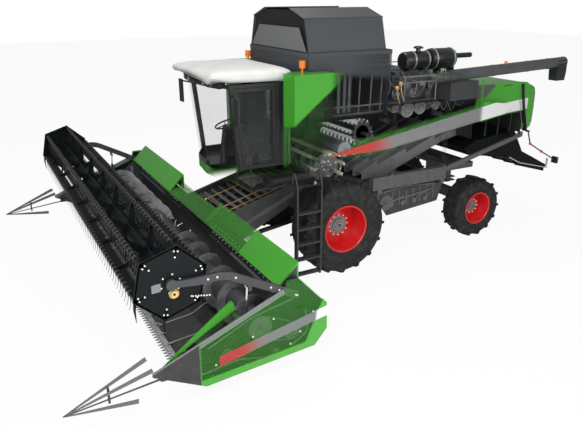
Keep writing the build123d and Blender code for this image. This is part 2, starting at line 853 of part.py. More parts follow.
# Unloading tube: an elbow on the turret, the tube and its spout
tube_rear_z = unload_z + (unload_reach - unload_y) * unload_rise
with BuildPart() as unloading_tube:
    rod((unload_x, unload_y, unload_z - unload_radius - 60 + gap), (unload_x, unload_y, unload_z + 60), 150)
    rod((unload_x, unload_y, unload_z), (unload_x, unload_reach, tube_rear_z), unload_radius)
    rod((unload_x, unload_y + 200, unload_z + 8), (unload_x, unload_reach - 12, tube_rear_z),
        unload_radius - 8,
        Mode.SUBTRACT)
    block((unload_x - 140, unload_x + 140), (unload_reach - 350, unload_reach - 60), (3130,
        tube_rear_z - 60))
    block((unload_x - 132, unload_x + 132), (unload_reach - 342, unload_reach - 68), (3129,
        tube_rear_z - 40),
          Mode.SUBTRACT)
keep(unloading_tube, "unloading_tube")

# Cab: plan outline with a bowed front
def cab_plan(grow):
    half = cab_half + grow
    nose = cab_nose - grow
    return [(-half, cab_rear + grow), (-half, cab_front), (-half * 0.62, cab_front - 190), (0, nose),
            (half * 0.62, cab_front - 190), (half, cab_front), (half, cab_rear + grow)]


with BuildPart() as cab_base:
    level_plate(cab_plan(0), cab_low, cab_floor)
    level_plate(cab_plan(0), cab_floor, cab_sill)
    level_plate(cab_plan(-40), cab_floor, cab_sill, Mode.SUBTRACT)
keep(cab_base, "cab_base")

lean = -150  # the front posts' tops stand further forward than their feet
posts_top = cab_eaves - 60
front_bow = [
    (-cab_half + post_width, cab_front + 20), (-cab_half * 0.62, cab_front - 170), (0, cab_nose + 25),
    (cab_half * 0.62, cab_front - 170), (cab_half - post_width, cab_front + 20),
]
with BuildPart() as cab_frame:
    for _, side in sides:
        post_in = side * (cab_half - post_width)
        post_out = side * cab_half
        side_plate(
            [(cab_front, cab_sill), (cab_front + post_width, cab_sill), (cab_front + post_width + lean,
            posts_top),
             (cab_front + lean, posts_top)],
            post_in, post_out,
        )
        side_plate(
            [(cab_rear - post_width, cab_sill), (cab_rear, cab_sill), (cab_rear, posts_top),
             (cab_rear - post_width, posts_top)],
            post_in, post_out,
        )
        rod((side * (cab_half - 20), -1830, 3300), (side * 1300, -1930, 3300), 15)
        block((side * 1240, side * 1420), (-1960, -1930), (2900, 3330))
    side_plate(
        [(middle_post, cab_sill), (middle_post + post_width, cab_sill), (middle_post + post_width,
        posts_top),
         (middle_post, posts_top)],
        cab_half - post_width, cab_half,
    )
    level_plate(
        [(-cab_half, cab_rear), (-cab_half, cab_front + lean), (-cab_half * 0.62, cab_front + lean - 190),
         (0, cab_nose + lean), (cab_half * 0.62, cab_front + lean - 190), (cab_half, cab_front + lean),
         (cab_half, cab_rear)],
        posts_top, cab_eaves,
    )
    level_plate(
        [(-cab_half + 70, cab_rear - 70), (-cab_half + 70, cab_front + lean), (-cab_half * 0.6,
        cab_front + lean - 120),
         (0, cab_nose + lean + 80), (cab_half * 0.6, cab_front + lean - 120), (cab_half - 70,
         cab_front + lean),
         (cab_half - 70, cab_rear - 70)],
        posts_top - 1, cab_eaves + 1, Mode.SUBTRACT,
    )
    block((-cab_half + post_width, cab_half - post_width), (cab_rear - 50, cab_rear), (cab_sill, posts_top))
    block((-cab_half + 150, cab_half - 150), (cab_rear - 60, cab_rear + 10), (2700, cab_eaves - 140),
        Mode.SUBTRACT)
keep(cab_frame, "cab_frame")

glass_low = cab_sill
glass_top = posts_top
with BuildPart() as cab_glass:
    for z, forward in ((glass_low, 0), (glass_top, lean)):
        with BuildSketch(level_plane(z)):
            with BuildLine():
                Polyline(*[(x, y + forward) for x, y in bent_sheet(front_bow, glass_thick)], close=True)
            make_face()
    loft(ruled=True)
    side_plate(
        [(cab_front + post_width, glass_low), (cab_rear - post_width, glass_low), (cab_rear - post_width,
        glass_top),
         (cab_front + post_width + lean, glass_top)],
        -cab_half + 10, -cab_half + 10 + glass_thick,
    )
    side_plate(
        [(middle_post + post_width, glass_low), (cab_rear - post_width, glass_low),
         (cab_rear - post_width, glass_top), (middle_post + post_width, glass_top)],
        cab_half - 26, cab_half - 26 + glass_thick,
    )
    block((-cab_half + 150, cab_half - 150), (cab_rear - 40, cab_rear - 28), (2700, cab_eaves - 140))
keep(cab_glass, "cab_glass")

# Cab door, hinged along the leaning front post
door_front = cab_front + post_width + door_gap
door_rear = middle_post - door_gap
door_low = cab_sill + door_gap
door_top = glass_top - door_gap
window_low = door_low + 60
window_top = door_top - 60
lean_rate = lean / (posts_top - cab_sill)
hinge_x = cab_half + hinge_radius + 3


def door_edge(inset, z):
    """A point on the line that runs behind the door's front edge, at a height."""
    return (door_front + inset + lean_rate * (z - cab_sill), z)


window_outline = [
    door_edge(50, window_low), (door_rear - 60, window_low), (door_rear - 60, window_top), door_edge(50,
        window_top),
]
with BuildPart() as cab_door:
    side_plate(
        [door_edge(0, door_low), (door_rear, door_low), (door_rear, door_top), door_edge(0, door_top)],
        cab_half - 40, cab_half,
    )
    side_plate(window_outline, cab_half - 41, cab_half + 1, Mode.SUBTRACT)
    for z in (2250, 3050):
        y, _ = door_edge(0, z)
        y_top, z_top = door_edge(0, z + 120)
        rod((hinge_x, y, z), (hinge_x, y_top, z_top), hinge_radius)
        block((cab_half, hinge_x), (y, y + 60), (z + 20, z_top - 20))
keep(cab_door, "cab_door")
with BuildPart() as door_glass:
    side_plate(window_outline, cab_half - 26, cab_half - 26 + glass_thick)
keep(door_glass, "door_glass")

roof_nose = cab_front - 410  # the roof's front edge at its widest
with BuildPart() as cab_roof:
    for z, grow, nose in ((cab_eaves, 60, 130), (cab_eaves + 120, roof_half - cab_half, 170), (roof_top,
        -160, -60)):
        half = cab_half + grow
        with BuildSketch(level_plane(z)):
            with BuildLine():
                Polyline(
                    (-half, cab_rear + 30), (-half, cab_front - nose), (-half * 0.6, cab_front - nose - 240),
                    (half * 0.6, cab_front - nose - 240), (half, cab_front - nose), (half,
                    cab_rear + 30), close=True,
                )
            make_face()
    loft(ruled=True)
    for x in (-440, -250, 250, 440):
        front_plate(
            [(x - 80, 3510), (x + 80, 3510), (x + 80, 3580), (x - 80, 3580)], roof_nose - 14, roof_nose + 40,
        )
        front_plate(
            [(x - 70, 3518), (x + 70, 3518), (x + 70, 3572), (x - 70, 3572)], roof_nose - 15, roof_nose - 8,
            Mode.SUBTRACT,
        )
keep(cab_roof, "cab_roof")

# Seat and steering column
with BuildPart() as cab_fittings:
    block((-180, 180), (-1300, -1000), (cab_floor, 2260))
    block((-250, 250), (-1400, -900), (2260, 2400))
    bar((0, -930, 2400), (0, -860, 3060), 440, 120)
    block((-330, -260), (-1350, -1000), (2560, 2610))
    block((-330, -180), (-1060, -1000), (2300, 2560))
    rod((0, -1620, cab_floor), (0, -1620, 2640), 50)
    rod((0, -1620, 2640), (0, -1612, 2670), 190)
keep(cab_fittings, "cab_fittings")

# Platform with its guard, and the ladder outboard of the tyre
ladder_inner = front_track_half + front_tyre_width / 2 + 14
ladder_outer = ladder_inner + 115
ladder_rungs = 5
platform_low = platform_top - platform_thick
with BuildPart() as platform:
    block((cab_half + 2, platform_outer), (-1850, corner_front - 10), (platform_low, platform_top))
    block((1180, platform_outer), (corner_front - 10, -560), (platform_low, platform_top))
    block((cab_half + 2, 1180), (corner_front - 10, -760), (platform_low, platform_top))
    bent_rod([(1000, -1830, platform_top), (1000, -1830, 2950), (1560, -1830, 2950), (1560, -1830,
        platform_top)], 18, 80)
    block((carrier_outer, 1100), (-1300, -1200), (1740, platform_low))
    block((platform_outer, ladder_outer), (ladder_front, ladder_front + ladder_width), (platform_low,
        platform_top))
    for y in (ladder_front, ladder_front + ladder_width - 20):
        block((ladder_inner, ladder_outer), (y, y + 20), (ladder_low, platform_low))
    for rung in range(ladder_rungs):
        z = ladder_low + 30 + (platform_top - ladder_low) / (ladder_rungs + 1) * rung
        block((ladder_inner, ladder_outer), (ladder_front, ladder_front + ladder_width), (z, z + 30))
keep(platform, "platform")

# Feeder house: an open-ended channel, hinged at its rear, with a slatted chain inside
feeder_front = back_y + trough_sheet
feeder_outline = [
    (feeder_front, 430), (-300, 1400), (feeder_rear, 1400), (feeder_rear, 1700), (-330,
    1700), (feeder_front, 1150),
]
feeder_hollow = [
    (feeder_front - 1, 460), (-300, 1432), (feeder_rear + 1, 1432), (feeder_rear + 1, 1668), (-326, 1668),
    (feeder_front - 1, 1120),
]
with BuildPart() as feeder_house:
    side_plate(feeder_outline, -feeder_half, feeder_half)
    side_plate(feeder_hollow, -feeder_half + feeder_wall, feeder_half - feeder_wall, Mode.SUBTRACT)
    for _, side in sides:
        disc(side * (feeder_half - 10), side * (wall_half + 20), lift_y, lift_z, lift_pin)
        for x in (lift_cylinder_x - lug_reach, lift_cylinder_x + lug_reach - lug_plate):
            side_plate([(-1660, 550), (-1540, 550), (-1440, 862), (-1680, 740)], side * x,
                side * (x + lug_plate))
        disc(side * (lift_cylinder_x - lug_reach), side * (lift_cylinder_x + lug_reach), lift_eye_y,
            lift_eye_z, 20)
keep(feeder_house, "feeder_house")

chain_slats = 9
with BuildPart() as feeder_chain:
    for place in range(chain_slats):
        y = back_y + 160 + (-400 - back_y - 160) / (chain_slats - 1) * place
        z = 1060 + (y - back_y) * (1600 - 1090) / (-326 - back_y)
        block((-700, 700), (y - 25, y + 25), (z - 40, z))
    for x in (-600, -200, 200, 600):
        bar((x, back_y + 100, 1025), (x, -360, 1560), 40, 26)
    for y, z in ((-420, 1535), (back_y + 200, 1040)):
        bar((-feeder_half + feeder_wall, y, z), (feeder_half - feeder_wall, y, z), 64, 64)
keep(feeder_chain, "feeder_chain")

# Header frame: trough, back wall with the feeder's mouth, end walls, tubes and the cutter bar
auger_shaft = 35
trough_line = [(knife_y + 50, 245), (-3150, 300), (-2960, 425), (-2600, 440), (back_y, 470), (back_y, 1270)]
cover_line = [(-2130, 1240), (-2130, 1540), (-2440, 1235)]
cover_inside = bent_sheet(cover_line, trough_sheet)[3:]
guard_count = int(2 * wall_x / guard_pitch)
with BuildPart() as header_frame:
    side_plate(bent_sheet(trough_line, -trough_sheet), -wall_x, wall_x)
    block((-feeder_half + 60, feeder_half - 60), (back_y - 60, back_y + 60), (500, 1110), Mode.SUBTRACT)
    for _, side in sides:
        side_plate(
            [(knife_y + 60, 238), (-3150, 288), (-2600, 410), (back_y, 440), (back_y, 1240),
            *reversed(cover_inside),
             (-3150, 700), (knife_y + 60, 380)],
            side * (wall_x - trough_sheet), side * wall_x,
        )
        disc(side * (wall_x - trough_sheet), side * wall_x, auger_y, auger_z, auger_shaft + fit,
            Mode.SUBTRACT)
        disc(side * wall_x, side * (reel_cylinder_x + 20), reel_foot_y, reel_foot_z, 12)
        block((side * feeder_half, side * wall_x), (feeder_front, back_y + 120), (900, 1010))
        block((side * feeder_half, side * (wall_x - 200)), (feeder_front, back_y + 120), (450, 540))
        block((side * 2500, side * 2600), (-2900, -2700), (190, 425))
    block((-wall_x, wall_x), (feeder_front, back_y + 100), (1190, 1260))
    block((-wall_x, wall_x), (knife_y, knife_y + 70), (225, 250))
    guards = [(guard_pitch * guard_count / 2, knife_y + 20), (-guard_pitch * guard_count / 2, knife_y + 20)]
    for place in range(guard_count):
        x = guard_pitch * (place - guard_count / 2)
        guards += [(x, knife_y - 5), (x + guard_pitch / 2, knife_y - guard_reach)]
    guards.append((guard_pitch * guard_count / 2, knife_y - 5))
    level_plate(guards, 232, 244)
keep(header_frame, "header_frame")

cover_dip = 950
with BuildPart() as header_cover:
    for x_from, x_to in ((-wall_x, -cover_dip), (cover_dip, wall_x)):
        side_plate(bent_sheet(cover_line, trough_sheet), x_from, x_to)
    side_plate(bent_sheet([(-2130, 1240), (-2130, 1370), (-2440, 1235)], trough_sheet), -cover_dip,
        cover_dip)
keep(header_cover, "header_cover")

# Ends: panels on spacers, the grey rail along the upper edge and the blade that parts the crop
rail_low_line = ((-4230, 545), (-2440, 1220))
rail_top_line = ((-4230, 575), (-2440, 1290))
end_outline = [
    rail_low_line[0], (-3560, 190), (-1970, 320), (-1780, 540), (-1790, 940), (-2210, 1400), (-2400, 1400),
    rail_low_line[1],
]
sheet_x = header_half - end_sheet
with BuildPart() as header_ends:
    for _, side in sides:
        side_plate(end_outline, side * sheet_x, side * header_half)
        side_plate([*rail_low_line, *reversed(rail_top_line)], side * sheet_x, side * header_half)
        for y, z in ((-2240, 930), (-3000, 400), (-3500, 300)):
            block((side * wall_x, side * sheet_x), (y, y + 60), (z, z + 50))
        disc(side * (arm_x - 40), side * sheet_x, arm_pivot_y, arm_pivot_z, arm_pin)
        blade_x = wall_x - 50
        block((side * (blade_x - 10), side * sheet_x), (-3090, -3050), (980, 1020))
        corners = [
            (side * (sheet_x - 1), -4200, 550), (side * blade_x, -3020, 1070), (side * blade_x, -3120, 930),
        ]
        panel(corners if side < 0 else list(reversed(corners)), 14)
keep(header_ends, "header_ends")

# Long dividers ahead of each end: a rod from under the end's point, and three narrow blades that meet at
# its tip
divider_blades = (
    # rear end's y, its z and how far it stands off the rod's side
    (-4270, 770, -40),
    (-4220, 640, 40),
    (-4410, 240, 0),
)
divider_x = header_half - 60
divider_tip_y = -front_reach + 11.9  # the slanting blades' upper corners reach that far past it
with BuildPart() as long_dividers:
    for _, side in sides:
        tip = (side * divider_x, divider_tip_y, 335)
        rod((side * divider_x, -4060, 460), tip, 14)
        block((side * sheet_x, side * (header_half - 75)), (-4100, -3960), (430, 480))
        for y, z, aside in divider_blades:
            bar(tip, (side * divider_x + aside, y, z), 10, 60)
keep(long_dividers, "long_dividers")

# Header auger
auger_half = wall_x - trough_sheet - gap
with BuildPart() as header_auger:
    disc(-auger_half, auger_half, auger_y, auger_z, auger_tube)
    disc(-wall_x - 20, wall_x + 20, auger_y, auger_z, auger_shaft)
    for _, side in sides:
        for place in range(7):
            x = side * (auger_half * (0.25 + 0.11 * place))
            disc(x, x + side * 16, auger_y, auger_z, auger_radius)
keep(header_auger, "header_auger")

# Reel: tube, end plates, spiders and bars, each with a comb of hanging tines
tine_count = int(2 * tine_half / tine_pitch)
with BuildPart() as reel:
    disc(-reel_half, reel_half, reel_y, reel_z, reel_tube)
    for _, side in sides:
        with BuildSketch(side_plane(side * (reel_half - 20))) as end_plate:
            with Locations((reel_y, reel_z)):
                RegularPolygon(reel_hexagon, 6, rotation=reel_first_angle)
        extrude(end_plate.sketch, amount=side * 20)
        disc(side * reel_half, side * (arm_x + arm_width / 2), reel_y, reel_z, 30)
    for place in range(6):
        turn = radians(reel_first_angle + 60 * place)
        y = reel_y + reel_bar_circle * cos(turn)
        z = reel_z + reel_bar_circle * sin(turn)
        disc(-reel_half, reel_half, y, z, reel_bar_radius)
        for x in (-reel_half / 2, 0, reel_half / 2):
            bar((x, reel_y, reel_z), (x, y, z), 12, 90)
        comb = [(tine_half, z), (-tine_half, z)]
        for tine in range(tine_count):
            x = -tine_half + tine_pitch * tine
            comb += [(x, z - 30), (x, z - tine_reach), (x + tine_size, z - tine_reach), (x + tine_size,
                z - 30)]
        front_plate(comb, y - tine_size / 2, y + tine_size / 2)
keep(reel, "reel")

# Reel arms: kinked beams from the rear pivot to the reel's shaft, each with a lug and a pin for its cylinder
arm_line = [(arm_pivot_y, arm_pivot_z), (-3230, 1670), (-3580, 1665), (reel_y, reel_z)]
with BuildPart() as reel_arms:
    for _, side in sides:
        x = side * arm_x
        inner = x - arm_width / 2
        outer = x + arm_width / 2
        for (y0, z0), (y1, z1) in zip(arm_line, arm_line[1:]):
            bar((x, y0, z0), (x, y1, z1), arm_width, arm_height)
            disc(inner, outer, y1, z1, arm_height / 2)
        disc(inner, outer, arm_pivot_y, arm_pivot_z, arm_height / 2)
        disc(inner, outer, reel_y, reel_z, 70)
        bar((x, reel_eye_y, reel_eye_z - 30), (x, reel_eye_y, reel_eye_z + 120), arm_width, 40)
        disc(x, side * (reel_cylinder_x - 20), reel_eye_y, reel_eye_z, 12)
        disc(inner - 1, outer + 1, arm_pivot_y, arm_pivot_z, arm_pin + fit, Mode.SUBTRACT)
        disc(inner - 1, outer + 1, reel_y, reel_z, 30 + fit, Mode.SUBTRACT)
keep(reel_arms, "reel_arms")


def cylinder_line(foot, eye):
    """A cylinder's length, and a function that gives the point at a distance from its foot."""
    run = Vector(eye[0] - foot[0], eye[1] - foot[1], eye[2] - foot[2])
    along = run.normalized()
    return run.length, lambda s: (foot[0] + along.X * s, foot[1] + along.Y * s, foot[2] + along.Z * s)


# Cylinders: each barrel turns on its foot's pin, and its rod ends in an eye round the pin of what it lifts
cylinder_sizes = (
    # name, x, foot, eye, barrel radius, barrel length, rod radius, rod start, pin radius, eye width
    ("lift", lift_cylinder_x, (lift_foot_y, lift_foot_z), (lift_eye_y, lift_eye_z), 45, 1000, 28, 700, 20,
    50),
    ("reel", reel_cylinder_x, (reel_foot_y, reel_foot_z), (reel_eye_y, reel_eye_z), 24, 400, 13, 245, 12,
    24),
)
for name, x, foot, eye, radius, length, rod_radius, rod_start, pin, width in cylinder_sizes:
    with BuildPart() as barrels:
        for _, side in sides:
            _, point = cylinder_line((side * x, *foot), (side * x, *eye))
            middle = side * x
            disc(middle - width / 2, middle + width / 2, *foot, pin * 2)
            rod((middle, *foot), point(pin * 3 + 10), radius * 0.6)
            rod(point(pin * 3), point(length), radius)
            rod(point(rod_start - length * 0.3), point(length + 1), rod_radius + 3, Mode.SUBTRACT)
            disc(middle - width, middle + width, *foot, pin + fit, Mode.SUBTRACT)
    keep(barrels, f"{name}_cylinder_barrels")
    with BuildPart() as rods:
        for _, side in sides:
            reach, point = cylinder_line((side * x, *foot), (side * x, *eye))
            middle = side * x
            rod(point(rod_start), point(reach), rod_radius)
            disc(middle - width / 2, middle + width / 2, *eye, pin + eye_play + 12)
            disc(middle - width, middle + width, *eye, pin + eye_play, Mode.SUBTRACT)
    keep(rods, f"{name}_cylinder_rods")
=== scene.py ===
"""Combine harvester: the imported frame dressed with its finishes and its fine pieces, in metres."""
import json
from math import cos, pi, radians, sin

import bmesh
import bpy
import numpy as np
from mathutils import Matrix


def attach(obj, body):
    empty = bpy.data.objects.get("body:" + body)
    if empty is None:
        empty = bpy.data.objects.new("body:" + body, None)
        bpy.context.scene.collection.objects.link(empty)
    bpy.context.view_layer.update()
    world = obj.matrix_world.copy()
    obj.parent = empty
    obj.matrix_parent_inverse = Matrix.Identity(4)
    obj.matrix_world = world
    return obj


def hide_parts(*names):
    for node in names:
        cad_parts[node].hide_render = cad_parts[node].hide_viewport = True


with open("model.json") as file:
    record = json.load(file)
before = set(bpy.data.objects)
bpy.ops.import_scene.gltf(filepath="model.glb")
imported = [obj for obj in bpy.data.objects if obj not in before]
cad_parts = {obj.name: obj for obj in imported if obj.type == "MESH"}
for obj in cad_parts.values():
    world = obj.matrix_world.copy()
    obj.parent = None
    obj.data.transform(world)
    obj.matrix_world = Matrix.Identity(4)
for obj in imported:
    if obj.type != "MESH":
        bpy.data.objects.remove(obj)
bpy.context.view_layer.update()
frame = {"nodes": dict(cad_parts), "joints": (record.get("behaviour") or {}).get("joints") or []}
joints = {joint["name"]: joint for joint in frame["joints"]}
# Every piece is worked out with Y from the front axle, and moved by axle_y into the frame when it is made
axle_y = joints["front_left_roll"]["pos_m"][1]
sides = ((1, "left"), (-1, "right"))
X, Y, Z = np.eye(3)
scene = bpy.context.scene


def pin_at(name):
    """The (y, z) of a joint's pin."""
    _, y, z = joints[name]["pos_m"]
    return y - axle_y, z


def unit(vectors):
    return vectors / np.linalg.norm(vectors, axis=-1, keepdims=True)


def polar(y, z, radius, angle):
    """Points (y, z) on a circle, for one angle or many."""
    return np.stack([y + radius * np.cos(angle), z + radius * np.sin(angle)], -1)


def circle(radius, corners=16):
    return polar(0, 0, radius, np.linspace(0, 2 * pi, corners, endpoint=False))


def rect(width, height):
    return np.array([[-1, -1], [1, -1], [1, 1], [-1, 1]]) * [width / 2, height / 2]


def at_x(x, line):
    """A line of (y, z) as points (x, y, z)."""
    return np.column_stack([np.full(len(line), x), line])


def rounded(points, bend, steps=6):
    """A line of points with each inner corner c replaced by a curve from a to b: (1-t)^2 a + 2t(1-t) c + t^2 b."""
    points = np.asarray(points, float)
    t = np.linspace(0, 1, steps)[:, None]
    line = [points[:1]]
    for before, corner, after in zip(points, points[1:], points[2:]):
        a, b = (corner + unit(end - corner) * min(bend, np.linalg.norm(end - corner) * 0.45) for end in (before, after))
        line.append((1 - t) ** 2 * a + 2 * t * (1 - t) * corner + t ** 2 * b)
    return np.vstack([*line, points[-1:]])


def smooth_line(points, steps=6, loop=False):
    """A Catmull-Rom curve through points: 0.5 (2b + (c-a)t + (2a-5b+4c-d)t^2 + (3b-a-3c+d)t^3)."""
    p = np.asarray(points, float)
    p = np.vstack([p[-1:], p, p[:2]]) if loop else np.vstack([2 * p[:1] - p[1:2], p, 2 * p[-1:] - p[-2:-1]])
    a, b, c, d = p[:-3], p[1:-2], p[2:-1], p[3:]
    t = np.linspace(0, 1, steps, endpoint=False)[:, None, None]
    curve = 0.5 * (2 * b + (c - a) * t + (2 * a - 5 * b + 4 * c - d) * t ** 2 + (3 * b - a - 3 * c + d) * t ** 3)
    curve = curve.transpose(1, 0, 2).reshape(-1, p.shape[1])
    return curve if loop else np.vstack([curve, points[-1]])


class Shape:
    """Closed surfaces gathered into one mesh: points, quads and end polygons."""

    def __init__(self):
        self.points, self.quads, self.ends = np.zeros((0, 3)), np.zeros((0, 4), int), []

    def add(self, points, quads, ends):
        first = len(self.points)
        self.points = np.vstack([self.points, np.reshape(points, (-1, 3))])
        self.quads = np.vstack([self.quads, quads + first])
        self.ends = self.ends + [[corner + first for corner in end] for end in ends]
        return self

    def strip(self, rows, loop=False):
        """Rings of points (rows, ring, 3) joined into a skin, its two end rings closed by polygons."""
        count, ring = np.shape(rows)[:2]
        row, place = np.arange(count if loop else count - 1)[:, None] * ring, np.arange(ring)
        beyond, following = (row + ring) % (count * ring), (place + 1) % ring
        quads = np.stack([row + place, row + following, beyond + following, beyond + place], -1)
        ends = [] if loop else [range(ring)[::-1], range((count - 1) * ring, count * ring)]
        return self.add(rows, quads.reshape(-1, 4), ends)

    def turned(self, profile, centre=(0, 0, 0), corners=48, axis=0, loop=True):
        """A closed profile of (distance along the axis, radius) turned about it: p = c + a t + r (u cos + v sin)."""
        profile = np.asarray(profile, float)
        rows = np.zeros((len(profile), corners, 3))
        rows[..., axis] = profile[:, :1]
        rows[..., [(axis + 1) % 3, (axis + 2) % 3]] = profile[:, 1:, None] * circle(1, corners)
        return self.strip(rows + centre, loop)

    def carried(self, path, profile, up=Z, scale=1.0, loop=False):
        """A flat profile carried along a path: p(s, k) = path(s) + a_k side(s) + b_k top(s)."""
        path, profile = np.asarray(path, float), np.asarray(profile, float)
        along = unit(np.roll(path, -1, 0) - np.roll(path, 1, 0) if loop else np.gradient(path, axis=0))
        side = unit(np.cross(up, along))
        top = np.cross(along, side)
        size = np.broadcast_to(scale, len(path))[:, None, None]
        return self.strip(path[:, None] + size * (profile[:, :1] * side[:, None] + profile[:, 1:] * top[:, None]), loop)

    def rod(self, start, end, radius, corners=16):
        up = X if abs(unit(np.subtract(end, start))[0]) < 0.7 else Z
        return self.carried([start, end], circle(radius, corners), up)

    def shaft(self, half, y, z, radius, corners=16):
        """A rod across the machine."""
        return self.rod((-half, y, z), (half, y, z), radius, corners)

    def pipe(self, points, radius, corners=12, bend=0.05):
        """A round pipe along a line of points with its corners rounded, carried by the way it turns least."""
        up = np.eye(3)[np.argmin(np.ptp(points, axis=0))]
        return self.carried(rounded(points, bend), circle(radius, corners), up)

    def bar(self, start, end, width, height, up=Z):
        return self.carried([start, end], rect(width, height), up)

    def plate(self, outline, start, end, axis=0):
        """A flat outline of the two other axes, in X, Y, Z order, drawn out from start to end along one axis."""
        rows = np.zeros((2, len(outline), 3))
        rows[..., [a for a in range(3) if a != axis]] = outline
        rows[..., axis] = [[start], [end]]
        return self.strip(rows)

    def box(self, x, y, z):
        return self.plate([(x[0], y[0]), (x[1], y[0]), (x[1], y[1]), (x[0], y[1])], *z, 2)

    def repeat(self, form, offsets):
        """A small form again at each offset, or at each x."""
        for offset in np.outer(offsets, X) if np.ndim(offsets) == 1 else offsets:
            self.add(form.points + offset, form.quads, form.ends)
        return self

    def ring(self, form, angles, y=0.0, z=0.0):
        """A small form again at each angle about the line along X through (y, z)."""
        x, across, up = (form.points - [0, y, z]).T
        for a in angles:
            self.add(np.stack([x, y + cos(a) * across - sin(a) * up, z + sin(a) * across + cos(a) * up], -1),
                     form.quads, form.ends)
        return self

    def bolts(self, places, axis=0, radius=0.012, height=0.01):
        """Hexagon heads standing along one axis at many places."""
        return self.repeat(Shape().turned([(0, radius), (height, radius)], corners=6, axis=axis, loop=False), places)

    def on(self, side):
        """The same shape for the left (1) or the right (-1)."""
        return Shape().add(self.points * [side, 1, 1], self.quads, self.ends)

    def mirrored(self):
        """All that is there so far, on both sides of the machine."""
        return self.add(self.points * [-1, 1, 1], self.quads, self.ends)


def make(name, shape, body, finish, *hides, smooth=35, bevel=0.0):
    """Turns a gathered shape into an object that rides on a body and may stand for CAD nodes."""
    mesh = bpy.data.meshes.new(name)
    mesh.from_pydata((shape.points + [0, axle_y, 0]).tolist(), [], shape.quads.tolist() + shape.ends)
    work = bmesh.new()
    work.from_mesh(mesh)
    bmesh.ops.recalc_face_normals(work, faces=work.faces)
    work.to_mesh(mesh)
    work.free()
    mesh.polygons.foreach_set("use_smooth", np.ones(len(mesh.polygons), bool))
    mesh.set_sharp_from_angle(angle=radians(smooth))
    piece = bpy.data.objects.new(name, mesh)
    scene.collection.objects.link(piece)
    mesh.materials.append(finish.material)
    if bevel:
        edge = piece.modifiers.new("edges", "BEVEL")
        edge.width, edge.segments, edge.limit_method, edge.angle_limit = bevel, 2, "ANGLE", radians(40)
        edge.harden_normals = True
    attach(piece, body)
    if hides:
        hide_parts(*hides)


def make_pair(name, shape, body, finish):
    """A piece on the left and its mirror image on the right."""
    for side, side_name in sides:
        make(f"{name}_{side_name}", shape.on(side), body, finish)


class Val:
    """A socket whose operators add Math nodes."""

    def __init__(self, finish, socket):
        self.finish, self.socket = finish, socket

    def __rsub__(self, other):
        return self.finish.node("ShaderNodeMath", {"operation": "SUBTRACT"}, other, self)

    def ramp(self, low, high):
        """0 below low, 1 above high and a smooth rise between."""
        return self.finish.node("ShaderNodeMapRange", {"interpolation_type": "SMOOTHSTEP"}, self, low, high, 0.0, 1.0)


def math_method(operation):
    return lambda self, *others: self.finish.node("ShaderNodeMath", {"operation": operation}, self, *others)


for method, operation in (("__add__", "ADD"), ("__sub__", "SUBTRACT"), ("__mul__", "MULTIPLY"), ("abs", "ABSOLUTE"),
                          ("least", "MINIMUM"), ("most", "MAXIMUM")):
    setattr(Val, method, math_method(operation))


def shade(color, factor):
    return [channel * factor for channel in color]


class Finish:
    """A material as it is built up: its shader, the record's slot and the nodes that feed it."""

    def __init__(self, name, slot, **fixed):
        self.material = bpy.data.materials.new(name)
        self.material.use_nodes = True
        self.slot, self.tree = slot, self.material.node_tree
        self.shader = self.tree.nodes["Principled BSDF"]
        for socket, value in fixed.items():
            self.shader.inputs[socket.replace("_", " ")].default_value = value
        self.whole = self.node("ShaderNodeTexCoord", {}, output=3)
        x, y, z = (Val(self, out) for out in self.node("ShaderNodeSeparateXYZ", {}, self.whole).socket.node.outputs)
        self.place = x, y - axle_y, z

    def node(self, kind, settings, *values, output=0, **named):
        made = self.tree.nodes.new(kind)
        for key, value in settings.items():
            setattr(made, key, value)
        for key, value in [*enumerate(values), *named.items()]:
            if isinstance(value, Val):
                self.tree.links.new(value.socket, made.inputs[key])
            else:
                made.inputs[key].default_value = value
        return Val(self, made.outputs[output])

    def noise(self, scale, detail=3.0, where=None):
        return self.node("ShaderNodeTexNoise", {}, Vector=where or self.whole, Scale=scale, Detail=detail)

    def mix(self, factor, low, high):
        """A colour from low at 0 to high at 1."""
        made = self.tree.nodes.new("ShaderNodeMix")
        made.data_type = "RGBA"
        for index, value in ((0, factor), (6, low), (7, high)):
            if isinstance(value, Val):
                self.tree.links.new(value.socket, made.inputs[index])
            else:
                made.inputs[index].default_value = (*value, 1)
        return Val(self, made.outputs[2])

    def feed(self, socket, value):
        self.tree.links.new(value.socket, self.shader.inputs[socket])
        return self

    def bump(self, height, distance):
        return self.feed("Normal", self.node("ShaderNodeBump", {}, Strength=1.0, Distance=distance, Height=height))

    def drifting(self, factor, color, spread):
        """A colour that drifts to darker and lighter by its spread."""
        return self.mix(factor, shade(color, 1 - spread), shade(color, 1 + spread))


def dusted(finish, color, amount, high, rough, coat):
    """Feeds a colour with a little dust low down, which also dulls it: high is where the dust ends."""
    dust = (1 - finish.place[2].ramp(*high)) * finish.noise(5.0, 5.0).ramp(0.45, 0.75) * amount
    finish.feed("Base Color", finish.mix(dust, color, (0.16, 0.14, 0.115)))
    finish.feed("Roughness", rough(dust))
    finish.feed("Coat Weight", coat - dust)
    return finish.bump(finish.noise(260.0, 2.0), 0.0003)


def paint(name, slot, color, roughness=0.3, coat=0.5, metallic=0.0):
    """Sprayed paint: slow colour drift, fine orange-peel, a little dust low down."""
    finish = Finish(name, slot, Metallic=metallic, Coat_Roughness=0.12)
    drift = finish.noise(1.6, 4.0)
    return dusted(finish, finish.drifting(drift, color, 0.12), 0.35, (0.2, 1.6),
                  lambda dust: drift * 0.12 + roughness + dust * 0.5, coat)


